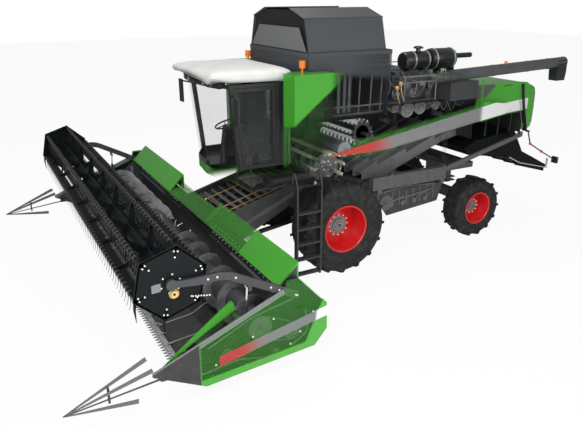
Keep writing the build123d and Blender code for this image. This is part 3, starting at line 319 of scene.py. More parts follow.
def steel(name, color, roughness=0.32, metallic=0.85):
    """Worked metal: drawn scratches along X, patches of darker scale and duller spots."""
    finish = Finish(name, "bare_steel", Metallic=metallic)
    scratch = finish.noise(14.0, 4.0, finish.node("ShaderNodeMapping", {}, finish.whole, Scale=(1, 30, 30)))
    scale = finish.noise(7.0, 5.0).ramp(0.42, 0.72)
    finish.feed("Base Color", finish.mix(scale, shade(color, 1.1), shade(color, 0.7)))
    finish.feed("Roughness", scratch * 0.25 + roughness + scale * 0.15)
    return finish.bump(scratch, 0.0004)


def plastic(name, slot, color, roughness=0.45, grain_scale=400.0):
    """Moulded plastic: leathery grain and slight colour drift."""
    finish = Finish(name, slot)
    grain = finish.noise(grain_scale, 2.0)
    finish.feed("Base Color", finish.drifting(finish.noise(3.0, 3.0), color, 0.15))
    finish.feed("Roughness", grain * 0.15 + roughness)
    return finish.bump(grain, 0.0004)


leaf_green = (0.052, 0.33, 0.022)
green = paint("green_enamel", "green_paint", leaf_green)
black = paint("black_enamel", "black_paint", (0.012, 0.013, 0.015), 0.28, 0.6)
dark_grey = paint("dark_grey_enamel", "black_paint", (0.035, 0.036, 0.04), 0.4, 0.2)
frame_grey = paint("frame_grey_enamel", "grey_paint", (0.075, 0.075, 0.08), 0.42, 0.15)
light_grey = paint("light_grey_enamel", "grey_paint", (0.19, 0.19, 0.2), 0.4, 0.2)
tank_grey = paint("tank_grey_enamel", "grey_paint", (0.05, 0.055, 0.06), 0.35, 0.3)
walker_grey = paint("walker_grey", "grey_paint", (0.15, 0.15, 0.155), 0.38, 0.25)
beam_grey = paint("beam_grey", "grey_paint", (0.085, 0.085, 0.088), 0.4, 0.2)
engine_grey = paint("engine_grey_enamel", "cast_engine", (0.05, 0.052, 0.055), 0.45, 0.1)
rim_red = paint("rim_red_enamel", "red_paint", (0.62, 0.008, 0.01), 0.25)
bright_steel = steel("bright_steel", (0.68, 0.69, 0.7), 0.22)
dull_steel = steel("dull_steel", (0.3, 0.3, 0.31), 0.4, 0.5)
brass = steel("brass_fitting", (0.72, 0.5, 0.2), 0.25)
roof_white = plastic("roof_white_moulding", "roof_plastic", (0.72, 0.72, 0.7), 0.35, 150.0)
black_plastic = plastic("black_moulding", "black_plastic", (0.015, 0.015, 0.016))
bolt_white = plastic("zinc_bolt", "bare_steel", (0.75, 0.75, 0.72), 0.3)
flat_black = plastic("flat_black_sheet", "black_plastic", (0.005, 0.006, 0.007), 0.55)
reel_black = paint("reel_black", "black_paint", (0.003, 0.005, 0.006), 0.4, 0.03)
for finish in (flat_black, reel_black):
    finish.shader.inputs["Specular IOR Level"].default_value = 0.15
# Separator forks: near-white with a faint self-glow, painted light that lifts them out of the shade around the
# separator
tine_painted_glow = plastic("tine_painted_glow", "bare_steel", (0.8, 0.81, 0.82), 0.25)
tine_painted_glow.shader.inputs["Emission Color"].default_value = (0.6, 0.62, 0.63, 1)
tine_painted_glow.shader.inputs["Emission Strength"].default_value = 0.22

rubber = Finish("tyre_rubber", "tyre_rubber", Specular_IOR_Level=0.35)
fine = rubber.noise(120.0, 3.0)
scuff = rubber.noise(9.0, 5.0).ramp(0.4, 0.75)
rubber.feed("Base Color", rubber.mix(scuff, (0.012, 0.012, 0.013), (0.034, 0.033, 0.031)))
rubber.feed("Roughness", fine * 0.2 + 0.6).bump(fine, 0.0012)

pane = Finish("tinted_glass", "cab_glass", Base_Color=(0.03, 0.036, 0.036, 1), Roughness=0.03, IOR=1.45,
              Specular_IOR_Level=0.7)
pane.feed("Alpha", pane.noise(2.0, 2.0) * 0.04 + 0.05 + pane.place[0].ramp(0.86, 0.88) * 0.4)

orange_lens = Finish("orange_lens", "lamp_orange", Roughness=0.12, Coat_Weight=0.6, Emission_Strength=0.6)
rings = orange_lens.node("ShaderNodeTexWave", {"bands_direction": "Z"}, Vector=orange_lens.whole, Scale=60.0)
orange_lens.feed("Base Color", orange_lens.mix(rings, (0.75, 0.13, 0.004), (0.95, 0.3, 0.02)))
orange_lens.feed("Emission Color", orange_lens.mix(rings, (0.3, 0.04, 0.0), (0.5, 0.12, 0.0))).bump(rings, 0.002)


def panel_edge(y):
    """Lower edge of the stripe along the side panels."""
    return (y - 0.95).most(0) * 0.135 + 2.213


def hood_edge(y):
    return y * 0.0626 + 2.31


def stripe_of(finish, on_end):
    """Where the stripe is, and its colour from red through silver to white."""
    x, y, z = finish.place
    if on_end:
        low, high = y * 0.2 + 1.098, y * 0.2 + 1.248
        outer, front, silver, pale, white = (3.84, 3.845), (-3.375, -3.365), (-3.1, -2.7), (-1.98, -1.93), 0.8
    else:
        hood = 1 - x.abs().ramp(1.39, 1.41)
        low = panel_edge(y) * (1 - hood) + hood_edge(y) * hood
        high = (y * 0.156 + 2.288) * (1 - hood) + (y * 0.085 + 2.435) * hood
        outer, front, silver, pale, white = (1.28, 1.29), (-0.29, -0.25), (0.55, 1.15), (3.15, 3.25), 0.75
    along = finish.mix(y.ramp(*silver), (0.55, 0.035, 0.03), (0.24, 0.24, 0.25))
    along = finish.mix(y.ramp(*pale), along, (white, white, white))
    stripe = (z - low).ramp(-0.003, 0.003) * (high - z).ramp(-0.003, 0.003) * y.ramp(*front)
    return stripe * x.abs().ramp(*outer), along


def see_through(finish, alpha, inside):
    """Feeds an Alpha that holds on inner faces only where the sheet is solid."""
    if inside:
        alpha = alpha * (1 - inside) + alpha.ramp(0.6, 0.95) * inside
    finish.feed("Alpha", alpha)


def livery(name, striped=None, clear=None, inner=None):
    """Green enamel, striped on the body or on the header's ends, with an Alpha worked out by clear, and a near-black
    colour where inner is 1: painted shade on the inner faces of panels and hood, and the dark top of the cab's base."""
    finish = Finish(name, "clear_panel" if clear else "green_paint", Coat_Roughness=0.12)
    x, y, z = finish.place
    drift = finish.noise(1.4, 4.0)
    color, stripe, inside = finish.drifting(drift, leaf_green, 0.12), None, None
    if striped:
        stripe, along = stripe_of(finish, striped == "end")
        color = finish.mix(stripe, color, along)
    if striped == "end":
        color = finish.mix((y * -1).ramp(3.62, 3.64), color, (0.013, 0.013, 0.014))
    # Painted shade: the inner faces turn near black where inner is 1
    if inner:
        inside = inner(x.abs(), y, z)
        color = finish.mix(inside, color, (0.02, 0.021, 0.022))
    dusted(finish, color, 0.3, (0.1, 1.2), lambda dust: drift * 0.1 + 0.27 + dust * 0.4, 0.5)
    if clear:
        see_through(finish, clear(x, y, z, stripe), inside)
    return finish


def clear_grey(name, color, clear, inner=None, dark=0.025):
    """Dark grey enamel with an Alpha worked out by clear, and painted shade in the colour dark where inner is 1."""
    finish = Finish(name, "clear_panel", Roughness=0.42)
    x, y, z = finish.place
    tone, inside = finish.drifting(finish.noise(2.2, 4.0), color, 0.15), None
    # Painted shade where inner is 1
    if inner:
        inside = inner(x.abs(), y, z)
        tone = finish.mix(inside, tone, (dark, dark, dark))
        inside = inside * x.ramp(1.0, 1.01)
    finish.feed("Base Color", tone)
    see_through(finish, clear(x, y, z), inside)
    return finish.bump(finish.noise(260.0, 2.0), 0.0003)


def panel_clear(x, y, z, stripe):
    """See-through but for the stripe and a green glow along its edges that breaks up with a fine pattern."""
    middle = (y - 0.6).most(0) * 0.145 + 2.31
    glow = (1 - (z - middle).abs().ramp(0.09, 0.2)) * y.ramp(-0.2, 0.6) * (x.finish.noise(3.0, 2.0) * 0.6 + 0.5)
    rear = y.ramp(3.1, 3.3) * (z - panel_edge(y)).ramp(-0.03, 0.0)
    return (stripe * (0.72 - y.ramp(0.3, 0.9) * 0.12) + glow * 0.3 + rear).least(1.0)


def corner_clear(x, y, z, stripe):
    """Solid ahead and above a slanting line on the left panel, and fading out below and behind it."""
    above = (z - (y + 1.0) * 0.78).ramp(2.74, 2.82) * (1 - y.ramp(-0.3, -0.1) * 0.85)
    faint = (z.ramp(2.3, 2.9) * 0.07 + 0.03) * (1 - y.ramp(-0.6, -0.2) * 0.8)
    front = (1 - x.ramp(1.17, 1.2)) * x.ramp(0.9, 0.91) * (z.ramp(2.0, 3.1) * 0.5 + 0.3)
    left = x.ramp(-0.1, 0.1)
    return (1 - left + left * above.most(faint).most(stripe * 0.7).most(front)).least(1.0)


def end_clear(x, y, z, stripe):
    """Half see-through inside a border on the left end panel."""
    inside = 1 - (y - (z - 0.3) * 0.45).ramp(-2.19, -2.15)
    inside = inside * (z - (y * 0.082 + 0.575)).ramp(0, 0.02) * x.ramp(0, 0.1) * (1 - (y * -1).ramp(3.6, 3.64))
    return 1 - inside * (1 - stripe * 0.6) * 0.83


def hood_clear(x, y, z, stripe):
    """The left hood sheet fades out below its white stripe."""
    return 1 - (1 - (z - hood_edge(y)).ramp(-0.05, 0.01)) * x.ramp(1.25, 1.26) * 0.995


def tank_clear(x, y, z):
    """The tank's left wall is solid along its upper edge only."""
    upper = (z + (y + 0.3) * 0.115).ramp(3.52, 3.68) * (1 - y.ramp(0.1, 0.9) * 0.35)
    return 1 - x.ramp(1.08, 1.1) * (1 - upper.most(0.05))


def panel_inner_shade(x, y, z):
    """Where the side panels and the hood, below its top sheet, get painted shade on their inner faces."""
    hood = y.ramp(3.188, 3.192)
    under_top = 1 - (z + (y - 3.19) * 0.0172).ramp(3.154, 3.158)
    return (1 - x.ramp(1.441, 1.443)) * (1 - hood) + (1 - x.ramp(1.28, 1.285)) * hood * under_top


def corner_inner_shade(x, y, z):
    """Painted shade on the inner faces of the corner panels' front, side and top sheets."""
    front = ((x - 1.17) * 0.23 - 1.008).most((x - 1.0) * -1.1 - 0.815)
    return (y - front).ramp(-0.004, 0.004) * (1 - x.ramp(1.42, 1.43)) * (1 - z.ramp(3.615, 3.625))


# Painted shade on the inner faces of the tank's walls
def tank_inner_shade(x, y, z):
    return (1 - x.ramp(1.12, 1.13)) * y.ramp(-0.52, -0.51) * (1 - y.ramp(1.14, 1.15))


def gable_painted_shade(x, y, z):
    """The front gable between the leaning side walls, painted near black as the shade seen through an opening."""
    return (1 - y.ramp(-0.47, -0.46)) * (1 - (x + (z - 3.94) * 0.29).ramp(1.06, 1.07)) * z.ramp(3.955, 3.96)


# Left side: the middle of the cover, the cab's base, posts, walls of the body, platform and tube are see-through too
side_panel_paint = livery("side_panel_clear", "body", panel_clear)
body_paint = livery("striped_green", "body", None, panel_inner_shade)
corner_paint = livery("corner_panel_green", "body", corner_clear, corner_inner_shade)
end_paint = livery("end_panel_green", "end", end_clear)
cover_paint = livery("cover_green", None, lambda x, y, z, stripe: (
    1 - (1 - x.ramp(2.36, 2.38)) * x.ramp(-0.97, -0.95) * 0.64))
base_paint = livery("cab_base_green", None, lambda x, y, z, stripe: 1 - x.ramp(-0.1, 0.4) * 0.97,
                    lambda x, y, z: z.ramp(1.954, 1.956))
hood_paint = livery("hood_green", "body", hood_clear, panel_inner_shade)
platform_grey = clear_grey("platform_grey", (0.02, 0.02, 0.022), lambda x, y, z: 1 - z.ramp(1.78, 1.8) * 0.6)
tank_side = clear_grey("tank_side_grey", (0.045, 0.052, 0.06), tank_clear, tank_inner_shade)
extension_grey = clear_grey("extension_grey", (0.05, 0.055, 0.06), lambda x, y, z: z * 0 + 1, gable_painted_shade, 0.004)
wall_grey = clear_grey("body_wall_grey", (0.03, 0.03, 0.032), lambda x, y, z: 1 - x.ramp(0.78, 0.8) * 0.95)
post_grey = clear_grey("post_grey", (0.06, 0.06, 0.065),
                       lambda x, y, z: 1 - x.ramp(1.1, 1.12) * z.ramp(1.66, 1.7) * 0.9)
tube_grey = clear_grey("tube_grey", (0.07, 0.072, 0.078), lambda x, y, z: y.ramp(1.9, 3.0) * 0.94 + 0.06)

feeder_paint = Finish("feeder_black", "clear_panel", Roughness=0.4)
x, y, z = feeder_paint.place
tone = feeder_paint.mix(feeder_paint.noise(6.0, 4.0), (0.02, 0.02, 0.022), (0.06, 0.06, 0.062))
feeder_paint.feed("Base Color", tone)
top_side = (z - (y + 2.28) * 0.261).ramp(1.07, 1.1) * (1 - x.abs().ramp(0.757, 0.76))
feeder_paint.feed("Alpha", 1 - top_side * 0.97).bump(feeder_paint.noise(200.0, 2.0), 0.0004)

# Camera at the photograph's place and angle
lens = bpy.data.cameras.new("photo_camera")
lens.lens = 37.08
camera = bpy.data.objects.new("photo_camera", lens)
camera.location = (9.968, axle_y - 5.667, 4.884)
camera.rotation_euler = (radians(90 - 20.322), 0, radians(61.5))
scene.collection.objects.link(camera)
scene.camera = camera
scene.view_settings.view_transform = "Standard"


def linked(tree, kind, *sources):
    """A node whose inputs come from sockets or numbers."""
    made = tree.nodes.new(kind)
    for end, source in zip(made.inputs, sources):
        if hasattr(source, "node"):
            tree.links.new(source, end)
        else:
            end.default_value = source
    return made


# Floor: pale, and mixed with plain white where the camera sees it
floor_mesh = bpy.data.meshes.new("floor")
floor_mesh.from_pydata([(-60, -60, 0), (60, -60, 0), (60, 60, 0), (-60, 60, 0)], [], [(0, 1, 2, 3)])
floor = bpy.data.objects.new("floor", floor_mesh)
scene.collection.objects.link(floor)
floor_paint = bpy.data.materials.new("pale_floor")
floor_paint.use_nodes = True
tree = floor_paint.node_tree
tree.nodes.clear()
seen = linked(tree, "ShaderNodeLightPath").outputs["Is Camera Ray"]
amount = linked(tree, "ShaderNodeMath", seen, 0.94)
amount.operation = "MULTIPLY"
diffuse = linked(tree, "ShaderNodeBsdfDiffuse", (0.82, 0.82, 0.82, 1))
glow = linked(tree, "ShaderNodeEmission")
mixed = linked(tree, "ShaderNodeMixShader", amount.outputs[0], diffuse.outputs[0], glow.outputs[0])
linked(tree, "ShaderNodeOutputMaterial", mixed.outputs[0])
floor_mesh.materials.append(floor_paint)

# World: white to the camera and through glass, and a weak light for all else
world = bpy.data.worlds.new("studio")
world.use_nodes = True
scene.world = world
sky = world.node_tree
path = linked(sky, "ShaderNodeLightPath").outputs
seen = linked(sky, "ShaderNodeMath", path["Is Camera Ray"], path["Is Transmission Ray"])
seen.operation = "MAXIMUM"
level = linked(sky, "ShaderNodeMapRange", seen.outputs[0], 0.0, 1.0, 0.24, 1.0)
back = sky.nodes["Background"]
back.inputs[0].default_value = (1, 1, 1, 1)
sky.links.new(level.outputs[0], back.inputs[1])

for name, place, target, size, power in (
        ("key", (9, -9, 11), (0, -1, 1.5), 6, 1250), ("side", (12, 6, 7), (0, 1, 1.5), 8, 260),
        ("low", (11, -3, 2.6), (0, 0.6, 2.1), 4, 330), ("top", (-3, 0, 13), (0, 0, 2), 8, 650)):
    light = bpy.data.lights.new(name, "AREA")
    light.size, light.energy = size, power
    holder = bpy.data.objects.new(name, light)
    holder.location = place
    aim = np.subtract(target, place)
    holder.rotation_euler = (np.arctan2(np.hypot(aim[0], aim[1]), -aim[2]), 0, np.arctan2(-aim[0], aim[1]))
    scene.collection.objects.link(holder)

# Finishes of the CAD nodes that show as they are
for finish, nodes in (
        (frame_grey, "front_axle rear_axle knuckle_left knuckle_right"), (black_plastic, "cab_frame cab_door"),
        (black, "cleaning_shoe lower_panels lamp_bracket lift_cylinder_barrels reel_cylinder_barrels"),
        (dark_grey, "deck_housings header_frame"), (bright_steel, "lift_cylinder_rods reel_cylinder_rods"),
        (flat_black, "straw_chopper spreader"), (pane, "cab_glass door_glass"), (beam_grey, "chassis_frame"),
        (wall_grey, "body_walls"), (side_panel_paint, "side_panel_left"), (body_paint, "side_panel_right"),
        (corner_paint, "corner_panels"), (post_grey, "body_frame"), (engine_grey, "engine"), (tank_side, "grain_tank"),
        (extension_grey, "tank_extension"), (tank_grey, "tank_flaps"), (orange_lens, "beacons"),
        (hood_paint, "rear_hood"), (base_paint, "cab_base"), (platform_grey, "platform"),
        (feeder_paint, "feeder_house"), (cover_paint, "header_cover"), (end_paint, "header_ends")):
    for node in nodes.split():
        for place in frame["nodes"][node].material_slots:
            place.material = finish.material

sixths, eighths = np.arange(6) * pi / 3, np.arange(8) * pi / 4 + 0.2

# Wheels: a tyre with slanting lugs on each half, the rim with its disc, the hub and its studs
for end, radius, width, rim, centre_x, wheel_y, lug, lugs, hub, studs, inset in (
        ("front", 0.88, 0.632, 0.42, 1.33, 0.0, 0.042, 16, 0.17, 12, 0.04),
        ("rear", 0.631, 0.5, 0.318, 1.19, 3.445, 0.034, 14, 0.12, 10, 0.02)):
    half, foot, carcass = width / 2, width / 2 - 0.04, radius - lug
    wall, lip = carcass - rim, foot + 0.013
    shoulder = [(foot, rim + 0.004), (foot + 0.004, rim + 0.035), (half - 0.008, rim + wall * 0.34),
                (half - 0.012, rim + wall * 0.62), (half - 0.05, carcass - 0.022), (half * 0.5, carcass - 0.004)]
    section = smooth_line(shoulder + [(0, carcass)] + [(-x, r) for x, r in shoulder[::-1]], 5)
    tyre = Shape().turned(section, corners=96)
    u = np.linspace(0, 1, 7)[:, None]
    drop = 0.012 * u ** 2 + 0.1 * np.clip(u - 0.84, 0, 1) / 0.16
    top, base = radius - 0.001 - drop, carcass - 0.03 - drop * 1.1
    sweep, broad = u ** 0.9 * pi / lugs, (0.020 + 0.006 * u) / radius
    angle = np.hstack([sweep - broad * 1.5, sweep + broad * 1.5, sweep + broad, sweep - broad])
    for hand, start in ((1, pi / lugs), (-1, 0)):
        across = np.repeat(hand * (0.012 + u * (half - 0.02)), 4, 1)
        rows = np.dstack([across, polar(0, 0, np.hstack([base, base, top, top]), angle)])
        tyre.ring(Shape().strip(rows), start + np.arange(lugs) * 2 * pi / lugs)
    barrel = smooth_line([
        (lip, rim + 0.024), (lip - 0.002, rim + 0.002), (lip - 0.03, rim - 0.012), (half * 0.35, rim - 0.03),
        (0, rim - 0.035), (-half * 0.5, rim - 0.02), (-lip + 0.02, rim - 0.012), (-lip, rim + 0.024)], 4)
    outer = [(-lip + 0.012, rim + 0.024), (-lip + 0.014, rim + 0.002), (lip - 0.014, rim + 0.002),
             (lip - 0.012, rim + 0.024)]
    middle, disc_x = (centre_x, wheel_y, radius), centre_x - inset
    wheel = Shape().turned(np.vstack([barrel, outer]), middle, 72).turned([
        (-0.012, rim - 0.025), (0.0, rim - 0.03), (0.012, rim - 0.07), (0.022, hub + 0.09), (0.045, hub + 0.05),
        (0.05, hub), (0.02, hub - 0.01), (0.0, hub - 0.01), (-0.014, hub)], (disc_x, wheel_y, radius), 72)
    boss = Shape().turned([
        (-0.05, 0.03), (-0.05, hub), (0.055, hub), (0.06, hub * 0.75), (0.085, hub * 0.7), (0.09, hub * 0.5),
        (0.11, hub * 0.45), (0.112, 0.03)], (disc_x, wheel_y, radius), 40)
    nuts = at_x(disc_x + 0.045, polar(wheel_y, radius, hub + 0.028, np.arange(studs) * 2 * pi / studs))
    for side, side_name in sides:
        body, which = f"wheel_{end}_{side_name}", f"{end}_{side_name}"
        make(f"tread_{which}", Shape().repeat(tyre, [(side * centre_x, wheel_y, radius)]), body, rubber,
             f"tyre_{which}", smooth=40)
        make(f"rim_shell_{which}", wheel.on(side), body, rim_red, f"rim_{which}")
        make(f"hub_{which}", boss.on(side), body, light_grey)
        make(f"studs_{which}", Shape().bolts(nuts, 0, 0.014, 0.022).on(side), body, bolt_white)

# Threshing drum: discs on a shaft, each with its bolts, and rasp bars with slanting ribs
drum = pin_at("drum_turn")
# The works reach from the far side to works_near, where the photograph shows them end
works_half, works_near, shaft_half = 0.77, 0.55, 0.885
disc = Shape().turned([
    (0, 0.034), (0, 0.055), (0.012, 0.055), (0.012, 0.24), (0, 0.243), (0, 0.262), (0.026, 0.262), (0.026, 0.24),
    (0.02, 0.238), (0.02, 0.07), (0.03, 0.065), (0.03, 0.034)], (0, *drum), 56)
discs = Shape().shaft(shaft_half, *drum, 0.035, 24).repeat(disc, (-0.77, -0.39, -0.015, 0.36, works_near - 0.026))
make("drum_discs", discs, "drum", light_grey, "threshing_drum")
channel = np.array([(-0.036, 0.255), (-0.03, 0.283), (0.03, 0.289), (0.037, 0.259), (0.03, 0.255)])
rib = [[(-0.006, -0.03, 0.28), (0.004, -0.03, 0.28), (0.012, 0.03, 0.286), (0.002, 0.03, 0.286)],
       [(-0.005, -0.028, 0.292), (0.003, -0.028, 0.292), (0.011, 0.028, 0.298), (0.003, 0.028, 0.298)]]
rasp_bar = Shape().plate(channel, -works_half, works_half).repeat(Shape().strip(rib), np.linspace(-0.75, 0.75, 56))
rasp_bar = Shape().repeat(rasp_bar, [(0, *drum)])
# The rasp bars are pale yellow-green, painted light that brightens the steel bars where the drum lies in shade
make("rasp_bars", Shape().ring(rasp_bar, eighths, *drum), "drum",
     plastic("rasp_bar_painted_light", "bare_steel", (0.62, 0.68, 0.5), 0.3))
bolts = Shape().bolts(at_x(works_near + 0.004, polar(*drum, 0.215, eighths)), 0, 0.019, 0.016)
make("drum_bolts", bolts.bolts(at_x(works_near, polar(*drum, 0.09, sixths)), 0, 0.019, 0.016), "drum", bolt_white)

# Beater: a closed drum with eight flat faces of plain plate
beater = pin_at("beater_turn")
wings = Shape().shaft(shaft_half, *beater, 0.035, 24).plate(polar(*beater, 0.155, eighths), -works_half, works_near)
for y, z in polar(*beater, 0.15, eighths[::2]):
    wings.box((-works_half, works_near), (y - 0.01, y + 0.01), (z - 0.01, z + 0.01))
make("beater_wings", wings, "beater_rotor", paint("beater_plate", "bare_steel", (0.42, 0.47, 0.52), 0.25, 0.2, 0.4),
     "beater", bevel=0.003)

# Separator: a closed drum with rows of forked tines and a toothed disc at each end
separator = pin_at("separator_turn")
core = Shape().shaft(shaft_half, *separator, 0.035, 24)
core.turned([(-works_half, 0.036), (-works_half, 0.15), (works_near, 0.15), (works_near, 0.036)], (0, *separator), 40)
teeth = [polar(*separator, r, k * pi / 6 + a) for k in range(12)
         for r, a in ((0.2, 0), (0.2, 0.2), (0.248, 0.26), (0.248, 0.44))]
core.repeat(Shape().plate(teeth, 0, 0.012), (-works_half, works_near - 0.012))
make("separator_core", core, "separator_rotor", frame_grey, "separator")
t = np.linspace(0, 1, 7)
row = Shape()
for lean in (1, -1):
    curve = [lean * (0.006 + 0.05 * np.sin(t * pi * 0.6)), 0.03 * np.sin(t * pi) - 0.01, 0.13 + 0.135 * t]
    tine = Shape().carried(np.transpose(curve) + [0, *separator], rect(0.034, 0.018), X, 1.25 - 0.5 * t)
    row.repeat(tine, np.linspace(-0.7, 0.45, 9))
# The forked tines take the near-white, faintly glowing finish: painted light
make("separator_tines", Shape().ring(row, sixths + 0.45, *separator), "separator_rotor", tine_painted_glow)

# Concave: curved side ribs, bars across them and bright pins along the near rib
arc = np.linspace(radians(176), radians(372), 40)
rib = Shape().carried(at_x(0, polar(*drum, 0.342, arc)), rect(0.04, 0.012), X)
cross_bar = Shape().box((-0.765, works_near), (-0.007, 0.007), (0.322, 0.36))
cage = Shape().repeat(rib, np.linspace(-0.764, works_near, 8))
cage.ring(Shape().repeat(cross_bar, [(0, *drum)]), arc[1:-1:2] - pi / 2, *drum)
make("concave_cage", cage, "root", dull_steel, "concave")
spots = at_x(works_near + 0.004, polar(*drum, 0.34, arc[1:-1:4]))
make("concave_pins", Shape().bolts(spots, 0, 0.018, 0.012), "root", bolt_white)

# Straw walkers: stepped troughs with saw-toothed upper edges
tooth_pitch, tooth_fall, gullet = 0.05, 0.032, 0.85
steps = np.array([(3.7, 2.3), (3.39, 2.23), (3.39, 2.33), (2.69, 2.08), (2.69, 2.17), (1.96, 1.88), (1.96, 1.98),
                  (1.26, 1.72), (1.26, 1.8), (0.9, 1.64)])
edge = [(0.9, 1.45), (1.41, 1.45), (2.89, 2.0), (3.7, 2.17), steps[0]]
for start, stop in zip(steps, steps[1:]):
    if start[0] - stop[0] < tooth_pitch:
        edge.append(stop)
        continue
    t = np.linspace(0, 1, max(2, int((start[0] - stop[0]) / tooth_pitch)) + 1)
    for low, high in zip(t, t[1:]):
        edge += [start + (stop - start) * (low + (high - low) * gullet) - [0, tooth_fall],
                 start + (stop - start) * high]
pitch = 2 * works_half / 5
trough = Shape().plate(edge, 0, 0.008).plate(edge, pitch - 0.02, pitch - 0.012)
trough.carried(at_x(pitch / 2 - 0.006, [
    (0.93, 1.55), (1.25, 1.71), (1.3, 1.65), (1.95, 1.9), (2.0, 1.81), (2.68, 2.09), (2.73, 2.01), (3.38, 2.25),
    (3.43, 2.15), (3.68, 2.22)]), rect(pitch - 0.03, 0.006))
walkers = Shape().repeat(trough, -works_half + pitch * np.arange(5)).shaft(0.8, 1.2, 1.53, 0.03)
make("walker_troughs", walkers.shaft(0.8, 2.85, 2.06, 0.03), "root", walker_grey, "straw_walkers")

# Reel: flanged end plates, star spiders, tine bars with their tines and the long spikes at the outer ends
reel = pin_at("reel_turn")
plate_x, bar_circle = 3.76, 0.44  # where the end plates stand, and the radius of the tine bars' circle
bar_angles = radians(77.5) + sixths
reel_frame = Shape().plate(polar(*reel, 0.484, bar_angles), plate_x, plate_x - 0.005)
reel_frame.carried(at_x(plate_x - 0.012, polar(*reel, 0.46, bar_angles)), rect(0.02, 0.024), X, loop=True)
reel_frame.rod((plate_x, *reel), (3.82, *reel), 0.029, 20).mirrored().shaft(plate_x, *reel, 0.075, 20)
spider = Shape().plate([polar(*reel, r, a + shift) for a in bar_angles for r, shift in (
    (0.455, -0.05), (0.455, 0.05), (0.13, pi / 6 - 0.12), (0.13, pi / 6 + 0.12))], -0.004, 0.004)
spider.turned([(-0.03, 0.074), (-0.03, 0.1), (0.03, 0.1), (0.03, 0.074)], (0, *reel), 24)
reel_frame.repeat(spider, np.linspace(-2.82, 2.82, 7))
for a in bar_angles:
    reel_frame.shaft(plate_x, *polar(*reel, bar_circle, a), 0.02, 12)
    reel_frame.shaft(plate_x, *polar(*reel, bar_circle * 0.52, a + pi / 6), 0.008, 8)
    reel_frame.plate([polar(*reel, r, a + shift) for r, shift in (
        (0.43, -0.02), (0.43, 0.02), (0.33, 0.02), (0.33, -0.02))], -plate_x, plate_x)
make("reel_frame", reel_frame, "tined_reel", reel_black, "reel", smooth=40)

fall = np.linspace(0, 1, 6)
tine_path = at_x(0, np.column_stack([-0.012 + 0.03 * fall - 0.05 * fall ** 3, -0.012 - 0.215 * fall]))
one_tine = Shape().carried(tine_path, rect(0.008, 0.010), X, 1 - 0.55 * fall)
one_tine.carried(tine_path[:3] + [0.028, 0, 0], rect(0.010, 0.014), X, 1 - 0.55 * fall[:3])
one_tine.turned([(-0.02, 0.02), (-0.02, 0.031), (0.034, 0.031), (0.034, 0.02)], corners=10)
spots = [(x, *polar(*reel, bar_circle, a)) for a in bar_angles for x in np.linspace(-3.5, 3.5, 57)]
make("reel_tines", Shape().repeat(one_tine, spots), "tined_reel",
     plastic("tine_plastic", "black_plastic", (0.035, 0.035, 0.033), 0.3), smooth=40)
spots = [polar(*reel, r, a + shift) for a in bar_angles for r, shift in (
    (0.405, 0.055), (0.405, -0.055), (0.33, 0), (0.12, 0))]
spots += [np.add(reel, (0.26 + 0.035 * k, -0.23 - 0.006 * k)) for k in range(7)]
make_pair("reel_plate_bolts", Shape().bolts(at_x(plate_x, spots), 0, 0.011, 0.01), "tined_reel", bolt_white)
bearing = [(0, 0.018), (0, 0.062), (0.012, 0.062), (0.018, 0.05), (0.03, 0.045), (0.03, 0.018)]
make("reel_bearing", Shape().turned(bearing, (plate_x, reel[0] + 0.03, reel[1] - 0.14), 32), "tined_reel", brass)
square = np.add(reel, [(-0.235, -0.08), (-0.125, -0.075), (-0.12, 0.03), (-0.232, 0.026)])
make("reel_square_plate", Shape().plate(square, plate_x, plate_x + 0.01), "tined_reel", light_grey, bevel=0.003)
spikes = Shape()
for start in polar(*reel, bar_circle, bar_angles[1:4]):
    spikes.carried(at_x(plate_x - 0.03, start + [(0, 0), (-0.02, -0.12), (-0.01, -0.3)]), rect(0.03, 0.012), X,
                   [1.6, 1.0, 0.12])
make("reel_spikes", spikes.mirrored(), "tined_reel", reel_black)

# Reel arms: a pair of flat beams side by side, kinked, with their pins, rollers and bolts
arm_line = rounded(at_x(0, [(-2.26, 1.16), (-3.23, 1.67), (-3.58, 1.665), reel]), 0.12)
arm_fit = np.interp(np.linspace(0, 1, len(arm_line)), (0, 0.75, 1), (1, 1, 0.8))
arms = Shape()
for x, thick, deep in ((3.776, 0.008, 0.105), (3.814, 0.008, 0.105), (3.795, 0.03, 0.07)):
    arms.carried(arm_line + [x, 0, 0], rect(thick, deep), scale=arm_fit)
for y, z, radius in ((-2.26, 1.16, 0.055), (*reel, 0.07), (-3.23, 1.67, 0.03)):
    arms.rod((3.771, y, z), (3.822, y, z), radius, 28)
arms.bar((3.795, -2.905, 1.37), (3.795, -2.905, 1.52), 0.048, 0.038, Y)
arms.rod((3.695, -2.905, 1.4), (3.82, -2.905, 1.4), 0.0118)
make("reel_arm_beams", arms.mirrored(), "reel_lift_arms", dark_grey, "reel_arms")
spots = [(-2.5, 1.286), (-2.62, 1.35), (-3.1, 1.602), (-3.34, 1.668), (-3.46, 1.667), (-2.26, 1.16)]
make_pair("reel_arm_bolts", Shape().bolts(at_x(3.818, spots), 0, 0.014, 0.01), "reel_lift_arms", bolt_white)

